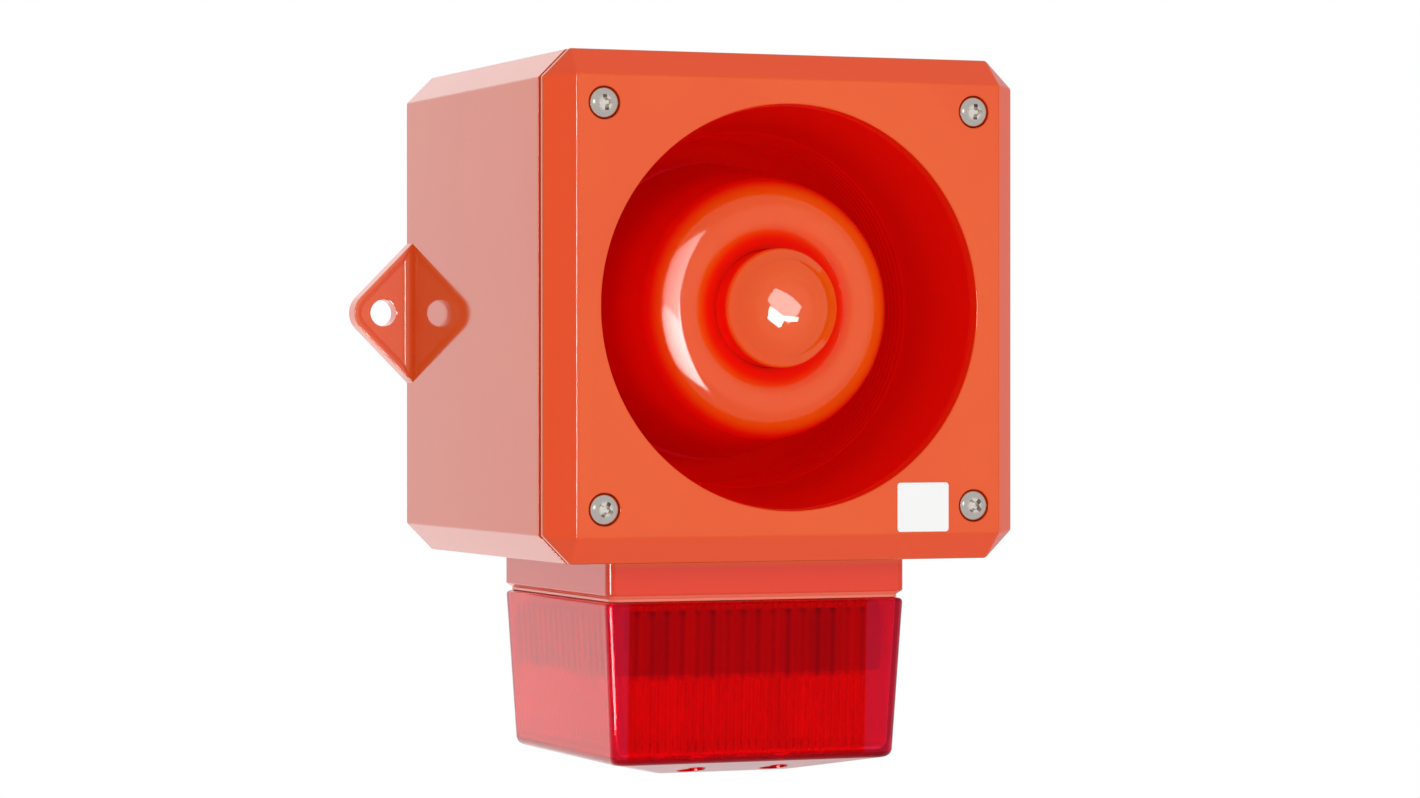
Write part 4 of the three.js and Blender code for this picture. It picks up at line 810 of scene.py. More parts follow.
# %% Curve of the bell
MOUTH_STEP = 0.4
BELL_FLARE = 6.25
BELL_FLARE_POWER = 1.35
BELL_WAIST_AT = 46.0
RIDGE_FROM = 41.0
RIDGE_TO = 62.0
RIDGE_PITCH = 3.0
RIDGE_HEIGHT = 0.28
RIDGE_STEPS = 8
bell_mouth_r = MOUTH_R - MOUTH_STEP
waist_r = bell_mouth_r - BELL_FLARE


def bell_radius(depth):
    t = max(0.0, 1 - (depth - LID_FRONT_WALL) / (BELL_WAIST_AT - LID_FRONT_WALL))
    return waist_r + BELL_FLARE * t**BELL_FLARE_POWER


def ridge(depth):
    """How far a turned ring stands out of the bell's wall."""
    if not RIDGE_FROM < depth < RIDGE_TO:
        return 0.0
    return RIDGE_HEIGHT * math.sin(math.pi * (depth - RIDGE_FROM) / RIDGE_PITCH) ** 2


def steps_between(first, last, step):
    count = max(1, round((last - first) / step))
    return [first + (last - first) * i / count for i in range(count + 1)]


print("bell narrows from", round(bell_mouth_r, 1), "to", round(waist_r, 1))

# %% Bell
BELL_DEPTH = 84.0
BELL_FILLET = 12.0
BELL_WALL = 2.8
BELL_BORE_R = 11.0
BELL_TOP = LID_FRONT_WALL + SEAT
FLANGE_OUT = 6.55
FLANGE_H = 3.0
SMOOTH_STEP = 1.6
OUTER_DEPTHS = (46, 38, 30, 22, 14, BELL_TOP + FLANGE_H)
smooth_places = steps_between(BELL_TOP + 0.3, RIDGE_FROM, SMOOTH_STEP)
ridge_places = steps_between(RIDGE_FROM, RIDGE_TO, RIDGE_PITCH / RIDGE_STEPS)[1:]
base_y = FRONT + BELL_DEPTH
fillet_y = base_y - BELL_FILLET
flange_r = bell_mouth_r + FLANGE_OUT
bell_profile = [(bell_radius(BELL_TOP) + 0.3, FRONT + BELL_TOP)]
bell_profile += [(bell_radius(d) - ridge(d), FRONT + d) for d in smooth_places + ridge_places]
bell_profile += arc(waist_r - BELL_FILLET, fillet_y, BELL_FILLET, 0, 90, 12)
bell_profile += [(BELL_BORE_R, base_y), (BELL_BORE_R, base_y + BELL_WALL)]
bell_profile += arc(waist_r - BELL_FILLET, fillet_y, BELL_FILLET + BELL_WALL, 90, 0, 10)
bell_profile += [(bell_radius(d) + BELL_WALL, FRONT + d) for d in OUTER_DEPTHS]
bell_profile += [(flange_r, FRONT + BELL_TOP + FLANGE_H), (flange_r, FRONT + BELL_TOP)]
bell = turned("bell", bell_profile, segments=192)
DRIVER_BOLT_HOLE_R = 2.3


def driver_bolt_holes(from_y, to_y):
    return gather("bolt_holes", rods(DRIVER_SCREWS, DRIVER_BOLT_HOLE_R, from_y, to_y, "Y", 24))


boolean(bell, [driver_bolt_holes(base_y - PAST, base_y + BELL_WALL + PAST)], "DIFFERENCE")
place_piece(bell, "cover", bell_abs, "horn_red", "horn_bell")

# %% [markdown]
# The cup is the reflector that sends the sound back out. Its section is a round ring that runs out
# along a straight cone to the rim, so the whole piece is one profile with arcs in it. Between the ring
# and the cap lies a shallow valley, which the photo shows as a soft red hollow. Behind its disc a
# screw holds it to the throat's hub, and a domed cap covers the screw.

# %% Reflector cup
RING_R = 30.0
RING_TUBE_R = 12.0
RING_AT = 25.5
CUP_RIM_R = waist_r - 8.1
CUP_RIM_AT = 72.0
CUP_WALL = 2.5
DISC_AT = 22.0
NOSE_R = 18.9
HUB_BORE_R = 2.8
VALLEY_R = NOSE_R + 0.05
VALLEY_TURN = -126.0
VALLEY_CURVE = 0.06
VALLEY_STEPS = 10
ring_y = FRONT + RING_AT
rim_y = FRONT + CUP_RIM_AT
disc_y = FRONT + DISC_AT
inner_tube_r = RING_TUBE_R - CUP_WALL
valley_slope = 1 / math.tan(math.radians(180 + VALLEY_TURN))


def tangent_turn(rim_r, radius):
    """The angle on the ring's section where a straight line from the rim touches it."""
    across, along = rim_r - RING_R, rim_y - ring_y
    return math.degrees(math.atan2(along, across) - math.acos(radius / math.hypot(along, across)))


def valley_depth(inward):
    """The valley round the cap leaves the ring at the ring's own slope and flattens out towards the cap."""
    return valley_slope * inward - VALLEY_CURVE * inward**2


back_turn = -180 + math.degrees(math.asin((ring_y - disc_y - CUP_WALL) / inner_tube_r))
outer_turn = tangent_turn(CUP_RIM_R, RING_TUBE_R)
inner_turn = tangent_turn(CUP_RIM_R - CUP_WALL, inner_tube_r)
outer_arc = arc(RING_R, ring_y, RING_TUBE_R, VALLEY_TURN, outer_turn, 40)
inner_arc = arc(RING_R, ring_y, inner_tube_r, inner_turn, back_turn, 28)
rim_round = arc(CUP_RIM_R - CUP_WALL / 2, rim_y - CUP_WALL / 2, CUP_WALL / 2, 0, 180, 8)
valley_r, valley_y = outer_arc[0]
valley_radii = [VALLEY_R + (valley_r - VALLEY_R) * i / VALLEY_STEPS for i in range(VALLEY_STEPS)]
cup_profile = [(HUB_BORE_R, disc_y), (VALLEY_R - 0.3, disc_y), (VALLEY_R, disc_y - 0.3)]
cup_profile += [(radius, valley_y + valley_depth(valley_r - radius)) for radius in valley_radii]
cup_profile += outer_arc + rim_round + inner_arc + [(HUB_BORE_R, disc_y + CUP_WALL)]
cup = turned("reflector_cup", cup_profile, segments=192)
place_piece(cup, "cover", horn_abs, "horn_red", "horn_reflector", smooth_angle=50)

# %% Reflector cap
NOSE_TIP_AT = 2.2
NOSE_EDGE_AT = 9.2
NOSE_EDGE_R = 2.2
NOSE_WALL = 2.0
NOSE_CROWN_WALL = 2.4
BUTTON_R = 9.5
BUTTON_H = 0.6
DOME_POWER = 4
DOME_STEPS = 28
INNER_STEPS = 8
INNER_SHARE = 0.75
shoulder_r = NOSE_R - NOSE_EDGE_R
tip_y = FRONT + NOSE_TIP_AT
edge_y = FRONT + NOSE_EDGE_AT
dome_rise = edge_y - NOSE_EDGE_R - tip_y


def crown(radius):
    """The dome's place: a broad crown with a low round button at its tip."""
    button = BUTTON_H * max(0.0, 1 - (radius / BUTTON_R) ** 2)
    return tip_y + BUTTON_H - button + (dome_rise - BUTTON_H) * (radius / shoulder_r) ** DOME_POWER


dome_slope = DOME_POWER * (dome_rise - BUTTON_H) / shoulder_r
dome_turn = math.degrees(math.atan(dome_slope))
cap_foot_y = disc_y - SEAT
nose_profile = [(t / DOME_STEPS * shoulder_r, crown(t / DOME_STEPS * shoulder_r)) for t in range(DOME_STEPS)]
nose_profile += arc(shoulder_r, edge_y, NOSE_EDGE_R, -90 + dome_turn, 0, 8)
nose_profile += [(NOSE_R, cap_foot_y - 0.3), (NOSE_R - 0.3, cap_foot_y), (NOSE_R - NOSE_WALL, cap_foot_y)]
nose_profile.append((NOSE_R - NOSE_WALL, edge_y + NOSE_WALL / 2))
inner_crown = [t / INNER_STEPS * shoulder_r * INNER_SHARE for t in range(INNER_STEPS, -1, -1)]
nose_profile += [(radius, crown(radius) + NOSE_CROWN_WALL) for radius in inner_crown]
cap = turned("reflector_cap_dome", nose_profile, closed=False)
place_piece(cap, "cover", cap_abs, "horn_red", "reflector_cap", smooth_angle=50)

# %% [markdown]
# The throat leads from the driver up into the cup. Three vanes in its mouth carry the hub that the
# cup is screwed to, and its flange is clamped between the bell and the driver's front plate.

# %% Throat
THROAT_R = 9.0
THROAT_MOUTH_R = 13.0
THROAT_WALL = 2.0
THROAT_ROOT = 1.0
THROAT_FOOT = 4.2
THROAT_LENGTH = 41.0
THROAT_FLANGE_H = 3.0
HUB_R = 5.0
HUB_ROOT = 10.0
HUB_BORE_DEPTH = 16.0
VANE_LENGTH = 9.0
VANE_HALF = 1.0
VANE_COUNT = 3
plate_low, plate_high = corners("driver_front_plate")
plate_r = plate_high.x
throat_back = base_y - SEAT
throat_mouth = throat_back - THROAT_LENGTH
flange_front = throat_back - THROAT_FLANGE_H
lip_y = throat_mouth + THROAT_WALL / 2
throat_lip_r = THROAT_MOUTH_R + THROAT_WALL / 2
throat_profile = [(THROAT_R, throat_back), (THROAT_MOUTH_R, lip_y)]
throat_profile += arc(throat_lip_r, lip_y, THROAT_WALL / 2, 180, 360, 6)[1:]
throat_profile.append((THROAT_R + THROAT_WALL + THROAT_ROOT, flange_front - 2))
throat_profile.append((THROAT_R + THROAT_FOOT, flange_front))
throat_profile += [(plate_r - 0.5, flange_front), (plate_r, flange_front + 0.5), (plate_r, throat_back)]
throat = turned("throat", throat_profile, segments=128)
hub_front = disc_y + CUP_WALL + SEAT
additions = [cylinder("hub", HUB_R, hub_front, throat_mouth + HUB_ROOT)]
for i in range(VANE_COUNT):
    far_end = (throat_lip_r, throat_mouth + VANE_LENGTH, VANE_HALF)
    vane = block("vane", (0, throat_mouth + 0.5, -VANE_HALF), far_end)
    vane.data.transform(Matrix.Rotation(math.radians(90 + 360 / VANE_COUNT * i), 4, "Y"))
    additions.append(vane)
boolean(throat, additions, "UNION")
hub_bore = cylinder("bore", HUB_BORE_R, hub_front - PAST, hub_front + HUB_BORE_DEPTH, segments=32)
boolean(throat, [hub_bore, driver_bolt_holes(flange_front - PAST, base_y + PAST)], "DIFFERENCE")
place_piece(throat, "cover", bell_abs, "horn_red", "horn_throat")

# %% [markdown]
# The compression driver is a stack of turned rings behind the horn: a die-cast front plate, a steel
# top plate, a ferrite magnet, a steel yoke and a plastic can over them all. Each is a profile, and one
# helper rounds the corners that a lathe or a mould leaves round. The diaphragm and its coil move as one.

# %% Driver
DIAPHRAGM_POCKET = 4.0
POCKET_ROOM = 0.6
COIL_R = 12.9
COIL_WALL = 0.6
COIL_GAP = 0.6
POLE_GAP = 0.7
MAGNET_R = 26.0
MAGNET_BORE_R = 17.0
CAN_WALL = 1.8
film_r = corners("driver_diaphragm")[1].x
pocket_y = plate_high.y - DIAPHRAGM_POCKET
pocket_r = film_r + POCKET_ROOM
gap_r = COIL_R + COIL_WALL + COIL_GAP
pole_r = COIL_R - POLE_GAP
top_low, top_high = [corner.y for corner in corners("driver_top_plate")]
magnet_low, magnet_high = [corner.y for corner in corners("driver_magnet")]
yoke_low, yoke_high = [corner.y for corner in corners("driver_yoke")]
can_low, can_high = corners("driver_can")
can_r = can_high.x
can_floor = can_high.y - CAN_WALL
pole_y = magnet_high + SEAT


def ring_profile(inner, outer, front, back, edge=0.5):
    return eased([(inner, front, edge), (outer, front, edge), (outer, back, edge), (inner, back, edge)])


plate_profile = [(THROAT_R, plate_low.y), (plate_r, plate_low.y, 0.6), (plate_r, plate_high.y, 0.6)]
plate_profile += [(pocket_r, plate_high.y, 0.4), (pocket_r, pocket_y), (THROAT_R, pocket_y, 0.6)]
front_plate = turned("driver_plate", eased(plate_profile), segments=128)
boolean(front_plate, [driver_bolt_holes(plate_low.y - PAST, plate_high.y + PAST)], "DIFFERENCE")
place_piece(front_plate, "cover", cast_alloy, "driver_alloy", "driver_front_plate")

top_plate = turned("top_plate", ring_profile(gap_r, MAGNET_R, top_low, top_high), segments=128)
place_piece(top_plate, "cover", zinc_plate, "plated_steel", "driver_top_plate")
magnet_profile = ring_profile(MAGNET_BORE_R, MAGNET_R, magnet_low, magnet_high, 1.2)
magnet = turned("magnet_ring", magnet_profile, segments=128)
place_piece(magnet, "cover", ferrite, "ferrite", "driver_magnet")
yoke_profile = [(0, yoke_low), (pole_r, yoke_low, 0.5), (pole_r, pole_y, 0.5)]
yoke_profile += [(MAGNET_R, pole_y, 0.5), (MAGNET_R, yoke_high, 0.8), (0, yoke_high)]
yoke = turned("yoke", eased(yoke_profile), closed=False, segments=128)
place_piece(yoke, "cover", zinc_plate, "plated_steel", "driver_yoke")
can_profile = [(0, can_floor), (can_r - CAN_WALL, can_floor, 1.0), (can_r - CAN_WALL, can_low.y, 0.4)]
can_profile += [(can_r, can_low.y, 0.4), (can_r, can_high.y, 2.6), (0, can_high.y)]
can = turned("driver_cover_can", eased(can_profile, 5), closed=False, segments=128)
place_piece(can, "cover", black_nylon, "black_plastic", "driver_can")

# %% Diaphragm and coil
DIAPHRAGM_WALL = 0.5
SURROUND_ROOM = 1.2
ROLL_SHARE = 0.4
FILM_STEPS = 10
film_low, film_high = [corner.y for corner in corners("driver_diaphragm")]
surround_y = film_high - DIAPHRAGM_WALL
dome_height = surround_y - film_low
half_roll = (film_r - COIL_R - SURROUND_ROOM) / 2
film_radii = [t / FILM_STEPS * COIL_R for t in range(FILM_STEPS)]
roll = arc(COIL_R + half_roll, surround_y, half_roll, 180, 360, 10)
film_front = [(radius, surround_y - dome_height * (1 - (radius / COIL_R) ** 2)) for radius in film_radii]
film_front += [(radius, surround_y - (surround_y - y) * ROLL_SHARE) for radius, y in roll]
film_front.append((film_r, surround_y))
film_back = [(radius, y + DIAPHRAGM_WALL) for radius, y in reversed(film_front)]
film = turned("diaphragm_film", film_front + film_back, closed=False, segments=96)
place_piece(film, "diaphragm", phenolic_film, "diaphragm_film", "driver_diaphragm", smooth_angle=50)

WIRE_TURNS = 18
WIRE_STEPS = 6
WIRE_BULGE = 0.12
coil_low, coil_high = [corner.y for corner in corners("voice_coil")]
wire_pitch = (coil_high - coil_low) / WIRE_TURNS
coil_outer_r = COIL_R + COIL_WALL
windings = []
for i in range(WIRE_TURNS):
    start = coil_low + i * wire_pitch
    for k in range(WIRE_STEPS):
        bulge = abs(math.sin(math.pi * k / WIRE_STEPS))
        windings.append((coil_outer_r - WIRE_BULGE * (1 - bulge), start + wire_pitch * k / WIRE_STEPS))
coil_end = [(coil_outer_r - WIRE_BULGE, coil_high), (COIL_R, coil_high)]
coil_profile = [(COIL_R, coil_low)] + windings + coil_end
coil = turned("coil_winding", coil_profile, segments=96)
place_piece(coil, "diaphragm", copper_wire, "coil_copper", "voice_coil", smooth_angle=60)

# %% [markdown]
# The beacon hangs under the box. Its base is a shallow upside-down tray in the box's own plastic, with
# bosses for the screws from above, four long posts that the lens is screwed to, and two short ones for
# the strobe board. The outline is a rectangle with round corners, drawn in where the shape narrows. A
# thin skirt runs round its foot and covers most of the gap above the lens.

# %% Tray of the beacon base
BASE_LOW, BASE_HIGH = corners("beacon_base")
BASE_HALF = BASE_HIGH.x
BASE_TOP = BASE_HIGH.z
BASE_MID_Y = (BASE_LOW.y + BASE_HIGH.y) / 2
BASE_SHOULDER_Z = -HALF - 10.9
BASE_SHOULDER = 1.2
BASE_LIP_INSET = 1.6
BASE_LIP_Z = BASE_SHOULDER_Z - 1.5
BASE_WALL = 2.5
CEILING_Z = BASE_TOP - 3.5
BASE_CORNER_R = 3.0
BASE_LIP_R = 2.4
BASE_INNER_R = 2.0
BASE_EDGE = 0.45
SKIRT = 0.65


def base_rings(levels, radius):
    """The beacon's outline at each of some levels, each how far it is drawn in and its height."""
    return [flat_ring(BASE_LOW, BASE_HIGH, inset, z, radius, 6) for inset, z in levels]


inner_inset = BASE_LIP_INSET + BASE_WALL
shoulder_low = BASE_SHOULDER_Z - BASE_SHOULDER
flank = round_edge(0, BASE_TOP, BASE_EDGE, -1)
flank += [(0, BASE_SHOULDER_Z + 0.35), (0.1, BASE_SHOULDER_Z + 0.08), (0.3, BASE_SHOULDER_Z - 0.12)]
flank += [(BASE_LIP_INSET - 0.25, shoulder_low + 0.12), (BASE_LIP_INSET, shoulder_low - 0.12)]
skirt_drops = [(0.0, SKIRT - 0.1), (0.1, SKIRT), (0.25, SKIRT), (0.3, 0.02)]
skirt = [(BASE_LIP_INSET + inward, BASE_LIP_Z - down) for inward, down in skirt_drops]
inside = [(inner_inset - 0.3, BASE_LIP_Z), (inner_inset, BASE_LIP_Z + 0.3)]
inside += [(inner_inset, CEILING_Z - 0.8), (inner_inset + 0.8, CEILING_Z)]
rings = base_rings(flank, BASE_CORNER_R) + base_rings(skirt, BASE_LIP_R) + base_rings(inside, BASE_INNER_R)
base = loft("beacon_tray", rings)
print("base drops", round(BASE_TOP - BASE_LIP_Z, 1), "under the box")

# %% Posts and bosses of the base
POST_LENGTH = 33.0
POST_HOLE_R = 2.3
POST_HOLE_DEPTH = 14.0
BASE_BOSS_LENGTH = 7.0
STROBE_DROP = 12.5
STROBE_HOLE_TOP = CEILING_Z - 3.5
BOSS_EDGE = 0.4
post_end = CEILING_Z - POST_LENGTH
base_boss_end = CEILING_Z - BASE_BOSS_LENGTH
strobe_boss_end = CEILING_Z - STROBE_DROP
# Each row: the screws, the boss's radius, its draft and its end, and the bore's radius, start and end.
BASE_BOSSES = [
    (LENS_SCREWS, 4.2, 0.3, post_end, POST_HOLE_R, post_end + POST_HOLE_DEPTH, post_end - PAST),
    (BEACON_SCREWS, 4.5, 0.2, base_boss_end, BEACON_HOLE_R, BASE_TOP + PAST, base_boss_end + PAST),
    (STROBE_SCREWS, 3.5, 0.2, strobe_boss_end, STANDOFF_HOLE_R, STROBE_HOLE_TOP, strobe_boss_end - PAST),
]
bosses, bores = [], []
for names, radius, draft, end, hole_r, hole_from, hole_to in BASE_BOSSES:
    tip_r, root = radius - draft, CEILING_Z + PAST
    boss_profile = [(0, root), (radius, root), (tip_r, end + BOSS_EDGE), (tip_r - BOSS_EDGE, end), (0, end)]
    bosses += [turned("boss", boss_profile, False, 40, "Z", middle(name)) for name in names]
    bores += rods(names, hole_r, hole_from, hole_to, "Z")
bores.append(cylinder("bore", WIRE_HOLE_R, BASE_TOP + PAST, CEILING_Z - PAST, "Z", (0, BASE_MID_Y, 0)))
boolean(base, [gather("bosses", bosses)], "UNION")
boolean(base, [gather("bores", bores)], "DIFFERENCE")
place_piece(base, "root", housing_abs, "housing_red", "beacon_base")

# %% [markdown]
# The lens is a clear red shell. Outside it is smooth, and inside it is covered in upright flutes that
# spread the flash: wide ones near the top and finer ones below, with a plain border at each corner. It
# could be flat walls with a striped bump, but flutes bend what is seen through them, so they are real
# here. The inner wall is a formula for how far it is drawn in at each place round the outline.

# %% Sizes of the lens
LENS_GAP = 0.8
LENS_TOP = BASE_LIP_Z - LENS_GAP
LENS_WALL = 2.6
LENS_HEIGHT = 52.0
LENS_LOW = LENS_TOP - LENS_HEIGHT
LENS_FOOT_Z = LENS_LOW - 5.1
LENS_TAPER_X = 2.9
LENS_TAPER_Y = 2.05
LENS_EDGE_R = 2.5
LENS_EDGE_STEPS = 7
LENS_CORNER_R = 3.5
LENS_FOOT_HALF = 23.0
LENS_FOOT_INSET = 30.0
LENS_FOOT_R = 1.4
FLUTE_MM = 5.2
FLUTE_DEPTH = 0.55
FINE_FLUTE_SHARE = 0.55
FLUTE_CHANGE_Z = -117.5
FLUTE_BORDER = 5.0
SIDE_COUNT_X = 210
SIDE_COUNT_Y = 200
CORNER_COUNT = 6


def lens_ring(z, inset_x, inset_y, radius, fluted=0.0):
    """One ring of the lens, evenly sampled along its sides so that flutes can be cut in it."""
    x, front, rear = BASE_HALF - inset_x, BASE_LOW.y + inset_y, BASE_HIGH.y - inset_y
    half_y, mid_y = (rear - front) / 2, (rear + front) / 2
    wide = z > FLUTE_CHANGE_Z
    pitch = FLUTE_MM if wide else FLUTE_MM / 2
    depth = fluted * FLUTE_DEPTH * (1.0 if wide else FINE_FLUTE_SHARE)
    sides = [
        ((1, 0), (0, 1), half_y, x, SIDE_COUNT_Y),
        ((0, 1), (-1, 0), x, half_y, SIDE_COUNT_X),
        ((-1, 0), (0, -1), half_y, x, SIDE_COUNT_Y),
        ((0, -1), (1, 0), x, half_y, SIDE_COUNT_X),
    ]
    ring = []
    for normal, along, half_length, out, count in sides:
        straight = half_length - radius
        spots = []
        for i in range(count + 1):
            s = -straight + 2 * straight * i / count
            in_flutes = half_length - FLUTE_BORDER - abs(s) > 0
            spots.append((out - (abs(math.cos(math.pi * s / pitch)) * depth if in_flutes else 0.0), s))
        for k in range(1, CORNER_COUNT):
            t = math.pi / 2 * k / CORNER_COUNT
            spots.append((out - radius + radius * math.cos(t), straight + radius * math.sin(t)))
        ring += [(normal[0] * u + along[0] * v, mid_y + normal[1] * u + along[1] * v, z) for u, v in spots]
    return ring


def wall_inset(z):
    """How far the outer wall is drawn in at a height, in X and Y."""
    t = (LENS_TOP - z) / LENS_HEIGHT
    return LENS_TAPER_X * t, LENS_TAPER_Y * t


def low_edge(wall, radius):
    """The rings round the lens's lower edge, for a wall that lies this far inside the outer one."""
    rings = []
    for i in range(1, LENS_EDGE_STEPS):
        t = math.pi / 2 * i / LENS_EDGE_STEPS
        inward = LENS_EDGE_R * (1 - math.cos(t)) + wall
        z = LENS_LOW + wall + LENS_EDGE_R * (1 - math.sin(t))
        rings.append(lens_ring(z, LENS_TAPER_X + inward, LENS_TAPER_Y + inward, radius))
    return rings


# %% Shell of the lens
BRIM_H = 1.6
WALL_STEPS = 8
TOP_CORNER_R = 3.0
INNER_CORNER_R = 1.0
foot_inset = BASE_HALF - LENS_FOOT_HALF
lens_brim = [(0.0, 1.9, 2.2), (0.1, 1.3, 2.4), (0.3, 0.7, 2.6), (0.7, 0.25, 2.8), (1.4, 0.05, 3.0)]
outer_rings = [lens_ring(LENS_TOP - down, inset, inset, radius) for down, inset, radius in lens_brim]
for i in range(1, WALL_STEPS + 1):
    z = LENS_TOP - BRIM_H - (LENS_HEIGHT - LENS_EDGE_R - BRIM_H) * i / WALL_STEPS
    radius = TOP_CORNER_R + (LENS_CORNER_R - TOP_CORNER_R) * i / WALL_STEPS
    outer_rings.append(lens_ring(z, *wall_inset(z), radius))
outer_rings += low_edge(0.0, LENS_CORNER_R)
outer_rings.append(lens_ring(LENS_FOOT_Z + 0.25, foot_inset - 1.2, LENS_FOOT_INSET - 1.2, 1.6))
outer_rings.append(lens_ring(LENS_FOOT_Z, foot_inset, LENS_FOOT_INSET, LENS_FOOT_R))

inner_rings = [lens_ring(LENS_FOOT_Z + LENS_WALL, foot_inset, LENS_FOOT_INSET, LENS_FOOT_R)]
inner_rings += low_edge(LENS_WALL, INNER_CORNER_R)[::-1]
flute_low = LENS_LOW + LENS_WALL + LENS_EDGE_R + 0.3
flute_high = -97.0
# The flutes fade in over the first step and out over the last, and change pitch within the middle one.
flute_levels = [(flute_low, 0.0), (flute_low + 1.2, 1.0), (-130.0, 1.0)]
flute_levels += [(FLUTE_CHANGE_Z - 0.6, 1.0), (FLUTE_CHANGE_Z + 0.6, 1.0), (-108.0, 1.0)]
flute_levels += [(flute_high - 1.2, 1.0), (flute_high, 0.0)]
for z, share in flute_levels:
    inset_x, inset_y = wall_inset(z)
    inner_rings.append(lens_ring(z, inset_x + LENS_WALL, inset_y + LENS_WALL, INNER_CORNER_R, share))
inner_rings.append(lens_ring(LENS_TOP - 0.25, LENS_WALL, LENS_WALL, 1.2))
inner_rings.append(lens_ring(LENS_TOP, LENS_WALL - 0.25, LENS_WALL - 0.25, 1.4))
lens = loft("lens_shell", outer_rings[::-1] + inner_rings[::-1])
print("lens wall", LENS_WALL, "and flutes", FLUTE_MM, "apart")

# %% [markdown]
# Through a real lens the dye looks deeper where light crosses more of it: in the thick of each flute and
# round the bottom edge. Light paths that long would need many bounces, so the deeper dye is a pattern on the
# shell's own coordinates. The same pattern paints shade, in dark patches in the band near the top where the
# dark parts behind the lens show through. The plain border at each corner is pinker, and where it is wider,
# on one side of the front and the back, its pink is a painted reflection. A table holds its arithmetic, one
# value a row.

# %% Dye and painted shade of the lens
BORDER_FROM = 41.2
PAINTED_REFLECTION_SHIFT = 3.2
BAND_TOP_Z = -95.8
DEEP_DYE_AND_SHADE_RED = "#A0001C"
BORDER_AND_REFLECTION_PINK = "#F02A50"
LOW_EDGE_RED = "#B40A2A"
SIDE_SHARE = 0.3
SIDE_WALL_X = BASE_HALF - LENS_WALL - 1.0 - LENS_TOP * LENS_TAPER_X / LENS_HEIGHT
WAVE = math.pi / FLUTE_MM
DYE_AND_SHADE_ROWS = [
    # Is this a side wall, and how far along its wall is it? A side wall is measured along Y.
    ("from side", "ABSOLUTE", "across"),
    ("wall x", "MULTIPLY_ADD", "height", -LENS_TAPER_X / LENS_HEIGHT, "from side"),
    ("on side", "GREATER_THAN", "wall x", SIDE_WALL_X),
    ("back from middle", "SUBTRACT", "back", BASE_MID_Y),
    ("to side", "SUBTRACT", "back from middle", "across"),
    ("side step", "MULTIPLY", "on side", "to side"),
    ("along", "ADD", "across", "side step"),
    # The field of flutes and its border, which sits a little to one side on the front and the back, where
    # the wider pink border is a painted reflection.
    ("shift", "RAMP", "on side", 0.0, 1.0, PAINTED_REFLECTION_SHIFT, 0.0),
    ("shifted", "ADD", "along", "shift"),
    ("from middle", "ABSOLUTE", "shifted"),
    ("border at", "RAMP", "on side", 0.0, 1.0, BORDER_FROM, BORDER_FROM + PAINTED_REFLECTION_SHIFT),
    ("past border", "SUBTRACT", "from middle", "border at"),
    ("field", "RAMP", "past border", 0.0, -0.5),
    ("border", "SUBTRACT", 1.0, "field"),
    # The band of wide flutes near the top, and the fine ones under it.
    ("band low", "RAMP", "height", FLUTE_CHANGE_Z - 1.2, FLUTE_CHANGE_Z + 0.4),
    ("band high", "RAMP", "height", BAND_TOP_Z, BAND_TOP_Z - 0.4),
    ("in band", "MULTIPLY", "band low", "band high"),
    ("under band", "SUBTRACT", 1.0, "in band"),
    ("wide angle", "MULTIPLY", "along", WAVE),
    ("wide cosine", "COSINE", "wide angle"),
    ("wide wave", "ABSOLUTE", "wide cosine"),
    ("fine angle", "MULTIPLY", "along", 2 * WAVE),
    ("fine cosine", "COSINE", "fine angle"),
    ("fine wave", "ABSOLUTE", "fine cosine"),
    ("wide peaks", "RAMP", "wide wave", 0.75, 1.0, 0.0, 0.45),
    ("wide fade", "NOISE", "along", 7.0, 0.35, 1.0),
    ("wide lines", "MULTIPLY", "wide peaks", "wide fade"),
    ("fine peaks", "RAMP", "fine wave", 0.6, 1.0),
    ("fine fade", "NOISE", "along", 5.0, 0.3, 1.0),
    ("fine lines", "MULTIPLY", "fine peaks", "fine fade"),
    # Painted shade: dark patches where the dark parts behind the lens show through.
    ("patches", "NOISE", "along", 14.0, 0.02, 0.36),
    ("wide sum", "ADD", "wide lines", "patches"),
    ("wide tone", "MULTIPLY_ADD", "fine lines", 0.14, "wide sum"),
    ("fine tone", "MULTIPLY", "fine lines", 0.16),
    # The tops of the wide flutes, and a row of short dashes low down.
    ("top heights", "RAMP", "height", BAND_TOP_Z - 2.4, BAND_TOP_Z - 1.0),
    ("top lines", "RAMP", "wide wave", 0.5, 0.9, 0.0, 0.3),
    ("tops", "MULTIPLY", "top heights", "top lines"),
    ("dash height", "COMPARE", "height", LENS_LOW + 6.0, 1.5),
    ("dash lines", "RAMP", "fine wave", 0.7, 0.9),
    ("dash fade", "NOISE", "along", 9.0, 0.0, 0.32),
    ("dash sum", "MULTIPLY", "dash lines", "dash fade"),
    ("dashes", "MULTIPLY", "dash height", "dash sum"),
    # All of it, fainter on the side walls.
    ("band sum", "ADD", "wide tone", "tops"),
    ("band tone", "MULTIPLY", "in band", "band sum"),
    ("low sum", "ADD", "fine tone", "dashes"),
    ("low tone", "MULTIPLY", "under band", "low sum"),
    ("side share", "RAMP", "on side", 0.0, 1.0, 1.0, SIDE_SHARE),
    ("seen", "MULTIPLY", "field", "side share"),
    ("tone sum", "ADD", "band tone", "low tone"),
    ("deep dye", "MULTIPLY", "seen", "tone sum"),
    # The bottom edge, as a narrow band.
    ("edge top", "RAMP", "height", LENS_LOW + 2.6, LENS_LOW + 1.4),
    ("edge bottom", "RAMP", "height", LENS_LOW + 0.1, LENS_LOW + 0.4),
    ("low edge", "MULTIPLY", "edge top", "edge bottom"),
]


